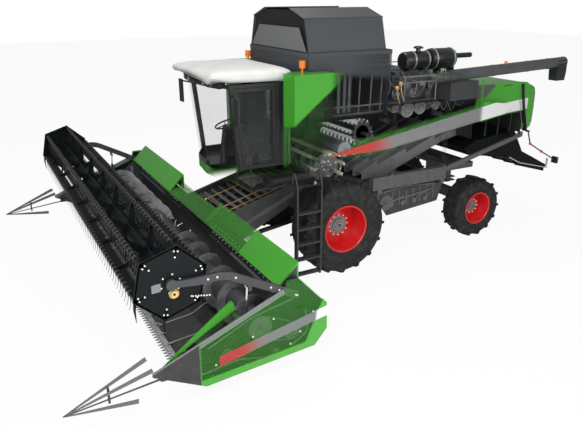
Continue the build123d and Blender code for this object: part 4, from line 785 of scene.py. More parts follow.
# Header auger: tube with a right-hand and a left-hand flight, and fingers in the middle
auger = pin_at("auger_turn")
tube = Shape().turned([(-3.63, 0.036), (-3.63, 0.17), (3.63, 0.17), (3.63, 0.036)], (0, *auger))
make("auger_tube", tube.shaft(3.68, *auger, 0.035, 20), "auger", dark_grey, "header_auger")
turns = np.linspace(0, 1, 200)
flights = Shape()
for side, _ in sides:
    flights.strip(np.stack([at_x(dx, polar(*auger, r, turns * 2 * pi * 5.6)) + np.outer(side * (0.72 + 2.9 * turns), X)
                            for r, dx in ((0.165, -0.003), (0.299, -0.002), (0.299, 0.002), (0.165, 0.003))], 1))
make("auger_flights", flights, "auger", steel("flight_steel", (0.24, 0.245, 0.25), 0.4, 0.5))
fingers = Shape()
for k in range(18):
    x, a = -0.64 + k * 0.075, k * 2.4
    fingers.rod((x, *polar(*auger, 0.15, a)), (x, *polar(*auger, 0.295, a)), 0.009, 8)
make("auger_fingers", fingers, "auger", bright_steel)

# Cutter bar: knife sections on their bar, pointed guards with a lip, and hold-down clips
guard_pitch = 0.07625
guard_x = (np.arange(-48, 48) + 0.5) * guard_pitch
guard = Shape().strip([[(-w, y, z - h), (w, y, z - h), (w * 1.05, y, z + h * 0.5), (w * 0.4, y, z + h),
                        (-w * 0.4, y, z + h), (-w * 1.05, y, z + h * 0.5)]
                       for y, z, w, h in ((-3.69, 0.235, 0.017, 0.013), (-3.745, 0.238, 0.016, 0.015),
                                          (-3.80, 0.24, 0.011, 0.012), (-3.845, 0.244, 0.003, 0.003))])
make("knife_guards", Shape().repeat(guard, guard_x), "header", steel("guard_steel", (0.45, 0.45, 0.45), 0.3, 0.8),
     smooth=30)
blade = Shape().plate([(-0.036, -3.73), (0.036, -3.73), (0.007, -3.805), (-0.007, -3.805)], 0.252, 0.255, 2)
clip = Shape().strip([[(-0.018, y, z), (0.018, y, z), (0.018, y, z + 0.008), (-0.018, y, z + 0.008)]
                      for y, z in ((-3.66, 0.262), (-3.70, 0.272), (-3.735, 0.26))])
knife = Shape().repeat(blade, guard_x[:-1] + guard_pitch / 2).repeat(clip, guard_x[::4])
make("knife_sections", knife.bar((-3.64, -3.715, 0.254), (3.64, -3.715, 0.254), 0.02, 0.008), "header", bright_steel)

# Trough floor seams, stripper strips, the row of bolts along the back sheet and tines along the feeder's mouth
seam_line = rounded([(0, -3.68, 0.254), (0, -3.15, 0.306), (0, -2.96, 0.432), (0, -2.6, 0.447), (0, -2.3, 0.476)], 0.08)
seams = Shape().repeat(Shape().carried(seam_line, rect(0.022, 0.008)), (1.0, 1.6, 2.2, 2.75, 3.05, 3.35)).mirrored()
make("floor_seams", seams, "header", paint("seam_grey", "grey_paint", (0.5, 0.5, 0.5), 0.35, 0.3))
strips = Shape().bar((0.85, -2.294, 0.93), (3.63, -2.294, 0.93), 0.02, 0.04)
strips.bar((0.85, -2.294, 1.12), (3.63, -2.294, 1.12), 0.02, 0.03)
strips.bar((3.634, -2.5, 0.55), (3.634, -2.5, 1.1), 0.008, 0.05, Y)
make("back_strips", strips.mirrored(), "header", light_grey)
spots = [(x, -2.282, z) for z in (1.19, 1.03) for x in (*np.arange(-3.5, -0.9, 0.14), *np.arange(0.95, 3.6, 0.14))]
make("back_bolts", Shape().bolts(spots, 1, 0.013, -0.012), "header", bolt_white)
comb = Shape().carried([(0, -2.29, 1.0), (0, -2.33, 0.97), (0, -2.345, 0.9)], rect(0.03, 0.012), scale=[1, 0.9, 0.4])
make("mouth_tines", Shape().repeat(comb, np.linspace(-1.7, 1.7, 34)), "header", black_plastic)

# Header ends: grey rail on the upper edge, crop blade, inner mechanism before a flat black sheet of painted shade, and
# bolts
end_x = 3.79
belt = smooth_line([(-2.78, 0.97), (-2.28, 0.74), (-2.19, 0.6), (-2.33, 0.5), (-2.83, 0.64), (-2.94, 0.8)], 5, True)
blade_x = np.array([3.835, 3.72, 3.61])
for side, name in sides:
    works = Shape()
    for y, z, radius, thick in ((-2.78, 0.8, 0.17, 0.03), (-3.25, 0.55, 0.07, 0.02), (-2.3, 0.62, 0.12, 0.03),
                                (-2.55, 0.36, 0.06, 0.03)):
        works.turned([(0, 0.02), (0, radius), (thick, radius), (thick, radius * 0.85), (thick * 0.5, radius * 0.8),
                      (thick * 0.5, 0.05), (thick, 0.045), (thick, 0.02)],
                     (end_x if side > 0 else -end_x - thick, y, z), 36)
    works.carried(at_x(side * 3.81, belt), rect(0.008, 0.02), X, loop=True)
    for line in ([(-3.6, 0.35), (-3.1, 0.42), (-2.6, 0.3)], [(-3.5, 0.7), (-2.9, 0.98), (-2.3, 1.1)],
                 [(-2.1, 0.9), (-2.05, 0.55), (-2.3, 0.4)]):
        works.pipe(at_x(side * 3.80, line), 0.014, 8, 0.1)
    make(f"end_works_{name}", works, "header", frame_grey)
    blade = Shape().carried(at_x(0, [(-4.215, 0.552), (-3.6, 0.86), (-3.05, 1.09)]) + np.outer(side * blade_x, X),
                            [(-0.007, -0.012), (0.007, -0.012), (0.007, 0.03), (-0.007, 0.03)], scale=[0.3, 1.6, 3.2])
    make(f"crop_blade_{name}", blade, "header", green)
    rail = [(-0.011, -0.036), (0.011, -0.036), (0.011, 0.03), (0.004, 0.036), (-0.011, 0.036)]
    make(f"end_rail_{name}", Shape().carried(at_x(side * 3.838, [(-4.22, 0.562), (-2.44, 1.258)]), rail), "header",
         light_grey)
# Painted shade: a flat black sheet behind the end works stands in for the shade inside the end
shade_sheets = Shape().plate([(-3.95, 0.42), (-3.55, 0.205), (-1.98, 0.335), (-1.795, 0.55), (-1.805, 0.935), (-2.215, 1.385),
                       (-2.4, 1.385), (-2.45, 1.21), (-3.95, 0.64)], 3.782, 3.785)
make_pair("end_shade_sheet", shade_sheets, "header", flat_black)
spots = [(-3.42, 0.46), (-3.1, 0.5), (-2.9, 0.72), (-2.6, 0.9), (-2.2, 0.6), (-2.0, 0.85), (-2.35, 0.45), (-3.0, 0.33),
         (-2.25, 1.16), (-3.7, 0.45)]
make_pair("end_bolts", Shape().bolts(at_x(3.842, spots), 0, 0.015, 0.007), "header", bolt_white)

# Long dividers: folded blades that meet at a tip, the rod under them and its swivel fork
tip_y, tip_z = -5.277, 0.335
blades = Shape()
fold = np.array([(-0.012, -0.05), (0.0, -0.056), (0.006, 0.0), (0.0, 0.05), (-0.012, 0.044), (-0.004, 0.0)])
for side, _ in sides:
    for y, z, aside in ((-4.27, 0.77, -0.04), (-4.22, 0.64, 0.04), (-4.41, 0.24, 0.0)):
        blades.carried(np.linspace((side * end_x, tip_y, tip_z), (side * (end_x + aside), y, z), 8), fold,
                       scale=np.linspace(0.12, 1.0, 8) ** 0.7 * 0.62)
make("divider_blades", blades, "header", paint("divider_grey", "grey_paint", (0.13, 0.125, 0.12), 0.4, 0.2),
     "long_dividers")
fork = Shape().carried(at_x(end_x, [(-4.06, 0.46), (tip_y, tip_z)]), circle(0.013, 12), scale=[1, 0.6])
fork.bar((3.80, -4.13, 0.46), (3.80, -3.97, 0.455), 0.05, 0.045).rod((3.76, -4.09, 0.46), (3.84, -4.09, 0.46), 0.016)
fork.bar((end_x, -4.75, 0.33), (end_x, -4.75, 0.55), 0.006, 0.03, Y)
make("divider_forks", fork.mirrored(), "header", dark_grey)

# Feeder house: chain slats with teeth, brassy pipes along it, the thick rounded far rail and a shield at its top
mouth_y, top_y, chain_rise = -2.28, -0.326, 1.6 - 1.09


def feeder_z(y):
    """Height of the chain's upper run above a place along the feeder."""
    return 1.06 + (y - mouth_y) * chain_rise / (top_y - mouth_y)


slat = Shape().plate([(-0.032, -0.006), (0.032, 0.012), (0.032, 0.02), (-0.006, 0.03), (-0.032, 0.002)], -0.7, 0.7)
make("feeder_slats", Shape().repeat(slat, [(0, y, feeder_z(y)) for y in np.linspace(-2.12, -0.4, 12)]), "header",
     paint("slat_grey", "grey_paint", (0.14, 0.14, 0.15), 0.35, 0.2), "feeder_chain")
chains = Shape().shaft(0.76, -2.08, 1.03, 0.04, 20).shaft(0.76, -0.42, 1.535, 0.04, 20)
link = Shape().box((-0.016, 0.016), (-0.026, 0.026), (-0.012, 0.012))
for x in (-0.6, -0.2, 0.2, 0.6):
    chains.repeat(link, [(x, y, feeder_z(y) - 0.02) for y in np.linspace(-2.14, -0.38, 31)])
    chains.bar((x, -2.16, feeder_z(-2.16) - 0.022), (x, -0.36, feeder_z(-0.36) - 0.022), 0.01, 0.014)
make("feeder_links", chains, "header", steel("chain_steel", (0.16, 0.15, 0.15), 0.4, 0.7))
pipes = Shape()
for x, start, stop in ((0.28, -2.2, -0.42), (0.52, -2.1, -0.35), (-0.36, -2.0, -0.6)):
    pipes.pipe([(x, start, feeder_z(start) - 0.06), (x, start + 0.06, feeder_z(start) + 0.035),
                (x, stop - 0.1, feeder_z(stop - 0.1) + 0.035), (x, stop, feeder_z(stop) - 0.02)], 0.012, 10)
for stop, y in ((0.62, -1.9), (0.66, -1.25), (0.7, -0.7)):
    pipes.rod((-0.7, y, feeder_z(y) + 0.03), (stop, y + 0.05, feeder_z(y) + 0.03), 0.009, 8)
make("feeder_pipes", pipes, "header", brass)
edge_line = rounded([(0, -2.24, 1.13), (0, -0.4, 1.655), (0, -0.22, 1.665)], 0.1)
far_section = smooth_line([(-0.03, -0.04), (0.03, -0.045), (0.04, 0.0), (0.028, 0.028), (-0.03, 0.028), (-0.036, 0.0)],
                          3, True)
make("feeder_far_rail", Shape().carried(edge_line - [0.76, 0, 0], far_section), "header", black_plastic)
near = Shape().carried(edge_line + [0.775, 0, -0.005], rect(0.026, 0.06))
near.bar((0.795, -2.2, 0.75), (0.795, -0.45, 1.5), 0.008, 0.08)
near.bolts([(0.792, y, feeder_z(y) - 0.16) for y in np.linspace(-2.1, -0.5, 11)], 0, 0.014, 0.008)
make("feeder_near_edge", near, "header", frame_grey)
u = np.linspace(-0.42, 0.42, 14)
bulge = np.stack([np.stack([u * 0.8 - 0.05, 0.3 * k - 1.2 - 0.1 * np.cos(u * 3.2),
                            feeder_z(-1.2 + 0.3 * k) + 0.15 + 0.05 * np.cos(u * 3.4) + 0.03 * sin(pi * k)], -1)
                  for k in (0, 0.35, 0.7, 1.0)])
make("feeder_shield", Shape().strip(np.hstack([bulge, bulge[:, ::-1] - [0, 0, 0.012]])), "header",
     steel("mottled_shield", (0.42, 0.37, 0.33), 0.5, 0.3), smooth=60)



# Cab: domed roof with a wavy lower edge, a visor slot with four lamps, posts, louvres, wiper, wheel and seat
def squarish(angle, x_power, y_power):
    """A rounded square of half width 1: cos and sin, each taken to a power with its sign kept."""
    x, y = np.cos(angle), np.sin(angle)
    return np.sign(x) * abs(x) ** x_power, np.sign(y) * abs(y) ** y_power


plan_x, plan_y = squarish(np.linspace(0, 2 * pi, 144, endpoint=False), 0.13, 0.17)
wave = 0.05 + 0.05 * np.exp(-((plan_x + 0.25) / 0.35) ** 2) - 0.06 * np.exp(-((plan_x - 0.8) / 0.16) ** 2)
wave = np.clip(-plan_y, 0, 1) ** 2 * wave + 0.022 * np.sin(plan_y * 5.5) * (abs(plan_x) > 0.9)
roof = [np.column_stack([grow * plan_x, -1.475 + 0.772 * grow * plan_y, z + sag * wave]) for z, grow, sag in (
    (3.505, 0.9, 1.0), (3.51, 0.955, 1.0), (3.54, 0.985, 0.9), (3.58, 1.0, 0.7), (3.62, 0.99, 0.4),
    (3.655, 0.955, 0.15), (3.685, 0.89, 0), (3.708, 0.79, 0), (3.724, 0.64, 0), (3.733, 0.45, 0),
    (3.737, 0.25, 0), (3.738, 0.03, 0))]
make("roof_shell", Shape().strip(roof), "root", roof_white, "cab_roof", smooth=50)
visor = Shape().plate([(-0.86, -2.04), (-0.55, -2.115), (0.55, -2.115), (0.86, -2.04), (0.8, -1.9), (-0.8, -1.9)],
                      3.42, 3.51, 2)
make("visor", visor, "root", black_plastic, bevel=0.008)
lamps, cups = Shape(), Shape()
for x, y in ((0.36, -2.115), (0.62, -2.085)):
    lamps.turned([(-0.012, 0.0005), (-0.012, 0.02), (-0.006, 0.036), (0.02, 0.04), (0.02, 0.0005)],
                 (x, y, 3.465), 24, 1)
    cups.turned([(-0.016, 0.041), (-0.016, 0.047), (0.03, 0.047), (0.03, 0.041)], (x, y, 3.465), 24, 1)
make("roof_lamps", lamps.mirrored(), "root", bright_steel)
make("roof_lamp_cups", cups.mirrored(), "root", light_grey)
cab = Shape().bar((0.895, -1.70, 2.04), (0.895, -1.85, 3.42), 0.066, 0.066, Y)
cab.bar((0.895, -0.80, 2.04), (0.895, -0.80, 3.42), 0.066, 0.07, Y)
cab.bar((0.90, -1.66, 2.055), (0.90, -0.83, 2.055), 0.05, 0.04).mirrored()
cab.bar((0.896, -1.015, 2.04), (0.896, -1.015, 3.42), 0.066, 0.066, Y)
make("cab_posts", cab, "root", black_plastic, bevel=0.012)
louvres = Shape()
for z in np.linspace(2.12, 2.68, 15):
    louvres.bar((-0.8, -0.772, z), (0.8, -0.772, z), 0.03, 0.006, (0, 0.6, 1))
for x in (-0.82, -0.3, 0.3, 0.82):
    louvres.bar((x, -0.78, 2.06), (x, -0.78, 3.4), 0.04, 0.02, Y)
make("cab_louvres", louvres, "root", black_plastic)
wiper = Shape().pipe([(0.12, -1.99, 2.1), (0.05, -2.03, 2.35), (-0.05, -2.085, 2.9)], 0.008, 8)
make("wiper", wiper.bar((-0.1, -2.075, 2.7), (-0.02, -2.12, 3.2), 0.012, 0.02), "root", black_plastic)
handle = Shape().pipe([(0.93, -1.085, 2.32), (0.945, -1.085, 2.36), (0.945, -1.085, 2.72), (0.93, -1.085, 2.76)],
                      0.011, 10, 0.03)
make("door_handle", handle.bar((0.932, -1.1, 2.45), (0.932, -1.1, 2.62), 0.012, 0.05, Y), "door", black_plastic)
turn = np.linspace(0, 2 * pi, 40, endpoint=False)
rim_line = np.column_stack([0.19 * np.cos(turn), 0.18 * np.sin(turn) - 1.60, 2.66 + 0.06 * np.sin(turn)])
steering = Shape().carried(rim_line, circle(0.014, 10), loop=True)
for a in (0.3, pi - 0.3, -pi / 2):
    steering.rod((0, -1.60, 2.65), (0.185 * cos(a), -1.60 + 0.175 * sin(a), 2.655 + 0.06 * sin(a)), 0.01, 8)
steering.carried([(0, -1.66, 1.96), (0, -1.65, 2.3), (0, -1.61, 2.64)], circle(0.055, 14), X, [1.3, 0.9, 0.7])
make("steering_wheel", steering, "root", black_plastic)


def cushion(width, deep, thick, crown):
    """A pillow form: its top rises as crown (1-u^4)(1-v^4), its edges round off as a superellipse, with two seams."""
    u = np.linspace(-1, 1, 21)[:, None]
    across, up = squarish(np.linspace(0, 2 * pi, 32, endpoint=False), 0.5, 0.6)
    fade = (1 - u ** 6) ** 0.35
    rise = crown * (1 - u ** 4) * (1 - across ** 4) * (up > 0)
    seam = -0.006 * np.exp(-((abs(across) - 0.6) / 0.05) ** 2) * (up > 0)
    return np.stack([across * width / 2 * (0.9 + 0.1 * fade), u * deep / 2 + 0 * across,
                     up * thick / 2 * fade + rise + seam], -1)


seat = Shape().strip(cushion(0.07, 0.34, 0.06, 0.008) + [0.31, -1.15, 2.58]).mirrored()
seat.strip(cushion(0.5, 0.5, 0.13, 0.03) + [0, -1.16, 2.33])
back_lean = radians(82)
back_x, back_y, back_z = np.moveaxis(cushion(0.46, 0.66, 0.12, 0.03), -1, 0)
seat.strip(np.stack([back_x, back_y * cos(back_lean) - back_z * sin(back_lean),
                     back_y * sin(back_lean) + back_z * cos(back_lean)], -1) + [0, -0.915, 2.72])
make("seat", seat, "root", plastic("seat_cloth", "seat_fabric", (0.05, 0.055, 0.06), 0.85, 900.0), smooth=60)
stand = Shape().carried([(0, -1.15, 1.96), (0, -1.15, 2.0), (0, -1.15, 2.24), (0, -1.15, 2.27)], rect(0.3, 0.34), Y,
                        [1.1, 0.9, 0.8, 1.2])
for z in np.linspace(2.02, 2.22, 6):
    stand.carried([(0, -1.15, z - 0.012), (0, -1.15, z), (0, -1.15, z + 0.012)], circle(0.19, 24), Y, [0.9, 1, 0.9])
make("seat_stand", stand.box((-0.42, -0.2), (-1.5, -0.85), (1.97, 2.5)), "root", black_plastic, "cab_fittings",
     bevel=0.006)

# Tank extension: fold lines, edge beads, flanges and the plate before the front gable
beads = Shape()
for y in (-0.52, 1.04):
    beads.pipe([(1.12, y, 3.945), (0.968, y, 4.475), (0.47, y, 4.62)], 0.012, 8, 0.02)
beads.pipe([(1.125, -0.53, 3.95), (1.125, 1.05, 3.95)], 0.014, 8)
beads.pipe([(0.974, -0.53, 4.483), (0.974, 1.05, 4.483)], 0.012, 8)
beads.mirrored().pipe([(-1.1, -0.52, 3.955), (1.1, -0.52, 3.955)], 0.014, 8)
for x in (-0.6, 0.0, 0.6):
    beads.bar((x, -0.532, 3.97), (x, -0.532, 4.3), 0.03, 0.012, Y)
make("extension_beads", beads, "root", tank_grey)
gable_plate = Shape().plate([(-1.05, 3.955), (1.05, 3.955), (0.8, 4.33), (-0.72, 4.33)], -0.546, -0.534, 1)
make("gable_plate", gable_plate, "root", paint("gable_plate_grey", "grey_paint", (0.16, 0.165, 0.17), 0.35, 0.3),
     bevel=0.004)
flange = Shape().bar((1.153, -0.54, 3.9), (1.153, 1.17, 3.9), 0.012, 0.07)
for z in (3.76, 3.68):
    flange.bar((1.152, -0.54, z), (1.152, 1.17, z), 0.006, 0.012)
flange.mirrored()
for y in (-0.545, 1.17):
    flange.bar((-1.14, y, 3.9), (1.14, y, 3.9), 0.012, 0.07)
make("tank_flange", flange, "root", tank_grey)

# Air cleaner, silencer and tailpipe with their bands, and the mushroom cap
air_x = 0.6
air = Shape().turned([(1.84, 0.002), (1.84, 0.10), (1.85, 0.15), (1.88, 0.166), (1.95, 0.17), (2.3, 0.17),
                      (2.4, 0.166), (2.43, 0.14), (2.435, 0.002)], (air_x, 0, 3.65), 48, 1)
air.turned([(2.47, 0.002), (2.47, 0.15), (2.49, 0.19), (2.53, 0.2), (3.03, 0.2), (3.08, 0.18), (3.1, 0.12),
            (3.1, 0.002)], (air_x, 0, 3.655), 48, 1)
air.turned([(2.4, 0.002), (2.4, 0.06), (2.5, 0.06), (2.5, 0.002)], (air_x, 0, 3.65), 32, 1)
air.turned([(3.07, 0.04), (3.07, 0.05), (3.6, 0.05), (3.6, 0.04), (3.17, 0.04)], (air_x, 0, 3.69), 32, 1, False)
air.turned([(3.8, 0.002), (3.8, 0.045), (3.875, 0.045), (3.87, 0.09), (3.885, 0.096), (3.9, 0.09), (3.915, 0.05),
            (3.918, 0.002)], (air_x, 2.225, 0), 32, 2)
for y, low in ((1.95, 3.4), (2.3, 3.4), (2.7, 3.36), (3.05, 3.36)):
    air.box((0.52, 0.68), (y, y + 0.06), (low, 3.52 if low == 3.4 else 3.5))
make("air_system_shells", air, "root", black, "air_system")
bands = Shape()
for y, radius, z in ((2.05, 0.1705, 3.65), (2.39, 0.1665, 3.65), (2.56, 0.2005, 3.655), (3.0, 0.2005, 3.655)):
    bands.turned([(0, radius), (0, radius + 0.006), (0.03, radius + 0.006), (0.03, radius)], (air_x, y, z), 48, 1)
make("silver_bands", bands, "root", bright_steel)

# Unloading tube: shell with seam rings, an elbow at its foot, and the dark spout
tube_x, tube_y = 1.285, 1.48


def tube_middle(y):
    """Height of the tube's middle line."""
    return 3.436 + (y - 3.2) * 0.0315


path = rounded(at_x(tube_x, [(tube_y, 3.284), (tube_y, tube_middle(tube_y)), (5.6, tube_middle(5.6))]), 0.1, 10)
make("tube_shell", Shape().carried(path, circle(0.106, 40), X), "swinging_tube", tube_grey, "unloading_tube", smooth=60)
rings = Shape()
for y in (3.5, 3.56, 4.5, 5.1):
    rings.turned([(0, 0.104), (0, 0.111), (0.016, 0.111), (0.016, 0.104)], (tube_x, y, tube_middle(y)), 40, 1)
make("tube_rings", rings, "swinging_tube", paint("ring_grey", "grey_paint", (0.1, 0.1, 0.105), 0.35, 0.3))
spout = Shape().carried([(tube_x, 5.45, 3.56), (tube_x, 5.45, 3.46), (tube_x, 5.46, 3.3), (tube_x, 5.46, 3.14)],
                        rect(0.22, 0.28), Y, [0.9, 1.0, 0.98, 0.9])
spout.turned([(5.56, 0.002), (5.56, 0.11), (5.6, 0.107), (5.628, 0.085), (5.638, 0.04), (5.638, 0.002)],
             (tube_x, 0, tube_middle(5.6)), 40, 1)
spout.pipe([(tube_x + 0.107, 5.32, 3.44), (tube_x + 0.107, 5.58, 3.45)], 0.008, 8)
make("tube_spout", spout, "swinging_tube", black, bevel=0.01)
lamp = [(-0.03, 0.001), (-0.03, 0.03), (0.02, 0.035), (0.03, 0.02), (0.03, 0.001)]
make("tube_lamp", Shape().turned(lamp, (tube_x, 3.9, tube_middle(3.9) + 0.12), 20, 2), "swinging_tube", orange_lens)

# Engine: pulleys with their belt, the manifold, valve covers and pipes on its near side
motor = Shape()
for y, z, r in ((1.62, 3.07, 0.11), (1.85, 3.2, 0.07), (1.75, 3.32, 0.08), (2.02, 3.06, 0.09), (2.2, 3.24, 0.06)):
    motor.turned([(0, 0.01), (0, r * 0.5), (0.01, r * 0.9), (0.0, r), (0.012, r), (0.02, r * 0.9), (0.03, r),
                  (0.042, r), (0.036, r * 0.8), (0.03, r * 0.4), (0.05, r * 0.35), (0.05, 0.01)], (0.775, y, z), 36)
make("pulleys", motor, "root", paint("pulley_grey", "cast_engine", (0.3, 0.3, 0.3), 0.3, 0.2))
belt = smooth_line([(1.52, 3.03), (1.62, 2.965), (2.02, 2.975), (2.1, 3.06), (1.95, 3.2), (1.8, 3.39), (1.68, 3.36)], 6,
                   True)
make("engine_belt", Shape().carried(at_x(0.797, belt), rect(0.008, 0.024), X, loop=True), "root", black_plastic)
fittings = Shape()
for y in 1.62 + 0.125 * np.arange(6):
    fittings.box((0.3, 0.7), (y, y + 0.1), (3.4, 3.46))
    fittings.pipe([(0.5, y + 0.05, 3.42), (0.72, y + 0.05, 3.43), (0.83, y + 0.05, 3.33)], 0.03, 12, 0.06)
fittings.pipe([(0.83, 1.6, 3.33), (0.83, 2.3, 3.33), (0.76, 2.38, 3.42), (0.6, 2.4, 3.52)], 0.045, 16, 0.06)
fittings.turned([(0, 0.01), (0, 0.11), (0.02, 0.125), (0.05, 0.125), (0.07, 0.1), (0.07, 0.05), (0.1, 0.04),
                 (0.1, 0.01)], (0.8, 2.45, 3.18), 32)
fittings.pipe([(0.2, 1.45, 3.3), (0.6, 1.42, 3.38), (0.86, 1.5, 3.2), (0.86, 1.9, 3.0)], 0.03, 12, 0.08)
make("engine_fittings", fittings.box((0.76, 0.8), (1.55, 2.3), (2.96, 3.0)), "root", engine_grey, bevel=0.006)

# Pumps and pulleys below the deck, and wires before them and the engine
drive_x, drives = 0.86, Shape()
for y, z, r in ((1.8, 2.765, 0.145), (2.11, 2.785, 0.13), (1.5, 2.82, 0.08), (2.5, 2.8, 0.09)):
    drives.turned([(0, 0.01), (0, r * 0.5), (0.02, r * 0.85), (0.02, r), (0.034, r), (0.04, r * 0.93), (0.048, r),
                   (0.062, r), (0.058, r * 0.8), (0.035, r * 0.7), (0.035, r * 0.35), (0.07, r * 0.3), (0.07, 0.01)],
                  (drive_x, y, z), 40)
    drives.turned([(-0.3, 0.01), (-0.3, r * 0.7), (-0.28, r * 0.8), (-0.04, r * 0.8), (0, r * 0.6), (0, 0.01)],
                  (drive_x, y, z), 32)
    for spot in polar(y, z, r * 0.55, sixths):
        drives.rod((0.9, *spot), (0.925, *spot), 0.012, 8)
make("deck_drives", drives, "root", paint("drive_grey", "cast_engine", (0.26, 0.26, 0.25), 0.35, 0.2), bevel=0.003)
looms = Shape()
for k in range(9):
    y = 1.3 + 0.21 * k
    looms.pipe(smooth_line([(0.84, y, 2.9), (0.92, y + 0.05, 2.82 - 0.02 * (k % 3)),
                            (0.9, y + 0.16, 2.74 - 0.03 * (k % 4)), (0.88, y + 0.27, 2.8), (0.86, y + 0.3, 2.9)], 5),
               0.008, 8)
    looms.pipe(smooth_line([(0.8, y, 3.0), (0.9, y + 0.04, 3.12 + 0.05 * (k % 3)), (0.85, y + 0.1, 3.3),
                            (0.7, y + 0.12, 3.42)], 5), 0.009, 8)
make("looms", looms, "root", plastic("loom_grey", "black_plastic", (0.2, 0.2, 0.19), 0.4), smooth=60)

# Thin tubes on the deck ahead of the hood
lattice, rail_x = Shape(), 1.1
for x, y in ((rail_x, 1.55), (rail_x, 2.3), (rail_x, 3.1), (0.4, 3.12)):
    lattice.rod((x, y, 2.95), (x, y, 3.43), 0.012, 8)
lattice.mirrored()
for z in (3.31, 3.42):
    lattice.pipe([(rail_x, 1.5, z), (rail_x, 3.12, z), (-rail_x, 3.12, z), (-rail_x, 1.5, z)], 0.012, 8)
for y in (1.6, 1.9, 2.6, 2.9):
    lattice.shaft(rail_x, y, 3.31, 0.01, 8)
make("deck_lattice", lattice, "root", light_grey)

# Rear hood: slatted patch, the dark pillar with light edges, dark sheets inside it that stand in for shade, and the
# ribbed end cap
slatted = Shape().plate([(3.2, 2.9), (3.42, 2.93), (3.7, 3.16), (3.55, 3.172), (3.2, 3.18)], 1.3005, 1.302)
for k in range(7):
    z = 2.93 + 0.036 * k
    slatted.bar((1.303, 3.21, z), (1.303, 3.40 + 0.043 * k, z + 0.004), 0.004, 0.012)
make_pair("hood_slats", slatted, "root", frame_grey)
# Painted shade: near-black sheets inside the hood stand in for the shade there
shade_sheets = Shape().box((-1.25, 1.25), (4.6, 4.606), (2.1, 3.1)).box((-1.2, 1.2), (3.25, 3.256), (2.1, 3.1))
shade_sheets.plate([(3.22, 2.05), (4.6, 2.14), (4.6, 3.09), (3.22, 3.12)], -1.262, -1.256)
for y in (3.6, 3.95, 4.3):
    shade_sheets.box((1.2, 1.23), (y, y + 0.02), (2.12, 3.1))
make("hood_shade_sheets", shade_sheets, "root", plastic("shade_sheet_black", "black_plastic", (0.02, 0.02, 0.021), 0.5))
line = smooth_line(at_x(1.302, [(4.68, 2.13), (4.52, 2.66), (4.44, 3.0), (4.42, 3.14)]), 5)
pillars = Shape().carried(line, rect(0.01, 0.13), X).box((1.298, 1.303), (3.9, 4.14), (3.12, 3.135))
make("hood_pillars", pillars.mirrored(), "root", black_plastic)
edges = Shape().pipe(line + [0.003, -0.07, 0], 0.006, 8, 0.02).pipe(line + [0.003, 0.07, 0], 0.005, 8, 0.02)
make("hood_edge_light", edges.mirrored(), "root", light_grey)
bulge = np.linspace(0, 1, 16)[:, None]
around_x, around_z = squarish(np.linspace(0, 2 * pi, 96, endpoint=False), 0.22, 0.25)
rib = 0.006 * np.cos(around_z * 22) * (abs(around_x) > 0.9)
cap = np.stack([(1.288 + rib) * (1 - bulge ** 4.5) ** (1 / 2.6) * around_x, 4.62 + 0.515 * bulge + 0 * around_x,
                2.6 + 0.5 * np.maximum((1 - bulge ** 5) ** (1 / 2.4), 0.02) * around_z], -1)
make("end_cap_shell", Shape().strip(cap), "root", green, "end_cap", smooth=50)
ribs = Shape()
for z in np.linspace(2.3, 2.9, 6):
    ribs.pipe([(-0.95, 5.112, z), (-0.5, 5.128, z), (0.5, 5.128, z), (0.95, 5.112, z)], 0.01, 8)
make("cap_ribs", ribs, "root", green)

# Spreader: light strip along its edge with a hook plate; knobs of the lamp bracket
strip = Shape().pipe([(1.046, 4.62, 1.5), (1.046, 4.97, 1.33), (1.046, 5.88, 1.1)], 0.012, 8, 0.03)
make("spreader_strip", strip.bar((1.046, 5.86, 1.1), (1.046, 5.86, 1.32), 0.02, 0.05, Y), "root",
     paint("strip_grey", "grey_paint", (0.5, 0.5, 0.5), 0.35, 0.3))
ball = polar(0, 0, 0.03, np.linspace(-pi / 2 + 0.05, pi / 2 - 0.05, 12))[:, ::-1]
knobs = Shape().turned(ball, (1.19, 5.45, 1.56), 24, 2, False).turned(ball, (1.18, 5.06, 1.78), 24, 2, False)
knobs.turned([(5.965, 0.001), (5.965, 0.05), (5.95, 0.055), (5.94, 0.05), (5.94, 0.001)], (1.19, 0, 1.31), 24, 1)
make("lamp_knobs", knobs.mirrored(), "root", rim_red)

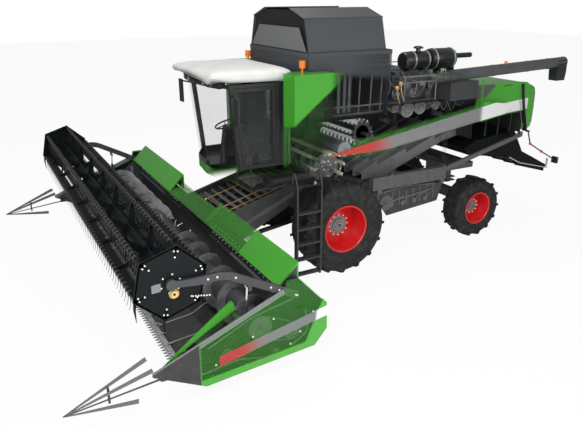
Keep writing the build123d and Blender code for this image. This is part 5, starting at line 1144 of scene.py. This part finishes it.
# Chassis: bolts and holes on the side beams, and the shoe's outside works
beam = Shape().bolts([(1.301, y, z) for y in np.arange(0.9, 2.55, 0.2) for z in (1.42, 1.59)], 0, 0.014)
for y in (1.1, 1.6, 2.1):
    beam.turned([(0, 0.002), (0, 0.05), (0.004, 0.05), (0.006, 0.035), (0.006, 0.002)], (1.300, y, 1.505), 28)
make("beam_bolts", beam.mirrored(), "root", frame_grey)
shoe_x = 1.25
shoe = Shape().turned([(0, 0.02), (0, 0.15), (0.02, 0.15), (0.02, 0.12), (0.008, 0.1), (0.008, 0.05), (0.03, 0.045),
                       (0.03, 0.02)], (1.24, 1.15, 1.08), 36)
for k in range(9):
    y = 0.95 + 0.17 * k
    shoe.bar((1.243, y, 1.28), (1.243, y + 0.02, 0.98 + 0.03 * abs(k - 4) / 4), 0.012, 0.024, Y)
for y in np.arange(1.0, 2.4, 0.28):
    shoe.rod((1.235, y, 1.02), (1.255, y, 1.02), 0.05, 20)
    shoe.pipe(at_x(shoe_x, [(y, 1.02), (y + 0.1, 1.12), (y + 0.3, 1.16)]), 0.012, 8, 0.04)
shoe.pipe(at_x(shoe_x, [(1.15, 1.08), (2.3, 1.2)]), 0.018, 10)
shoe.pipe(at_x(shoe_x, [(0.95, 1.3), (1.7, 1.34), (2.35, 1.3)]), 0.014, 8, 0.1)
make("shoe_outside", shoe.mirrored(), "root", paint("shoe_grey", "grey_paint", (0.1, 0.1, 0.1), 0.4, 0.1))

# Ladder: ribbed treads, curved side frames and guard rails
ladder = Shape()
for z in 0.25 + 1.68 / 6 * np.arange(5) + 0.03:
    for x in 1.668 + 0.0125 * np.arange(9):
        ladder.box((x, x + 0.006), (-1.085, -0.625), (z, z + 0.006))
for y in (-1.092, -0.618):
    ladder.pipe([(1.77, y, 1.86), (1.772, y, 1.2), (1.772, y, 0.24)], 0.012, 10, 0.1)
for y in (-1.09, -0.62):
    ladder.pipe([(1.6, y, 1.9), (1.62, y, 2.1), (1.7, y, 2.05), (1.77, y, 1.86)], 0.014, 10, 0.08)
make("ladder_treads", ladder, "root", dark_grey)

# Seen past the corner panel between cab and tank: valves, pipes and pillars
valves = Shape()
for y, z in ((1.3, 3.25), (1.38, 3.32)):
    valves.turned([(0, 0.005), (0, 0.035), (0.03, 0.04), (0.05, 0.03), (0.05, 0.015), (0.08, 0.012), (0.08, 0.005)],
                  (1.16, y, z), 20)
    valves.pipe([(1.2, y, z), (1.22, y, z - 0.15), (1.2, y + 0.08, z - 0.3)], 0.01, 8, 0.06)
make("valves", valves, "root", brass)
posts = Shape()
for y in (0.155, 0.28, 0.385):
    posts.box((0.98, 1.0), (y - 0.022, y + 0.022), (2.86, 3.86))
    posts.box((0.985, 1.003), (y + 0.03, y + 0.036), (2.86, 3.86))
for z in (2.82, 2.96):
    posts.bar((1.0, -0.5, z), (1.0, 1.14, z), 0.02, 0.03)
for y in (-0.35, -0.1, 0.6, 0.85, 1.08):
    posts.rod((0.99, y, 2.84), (0.99, y + 0.02, 3.5), 0.014, 10)
make("tank_pillars", posts, "root", frame_grey)
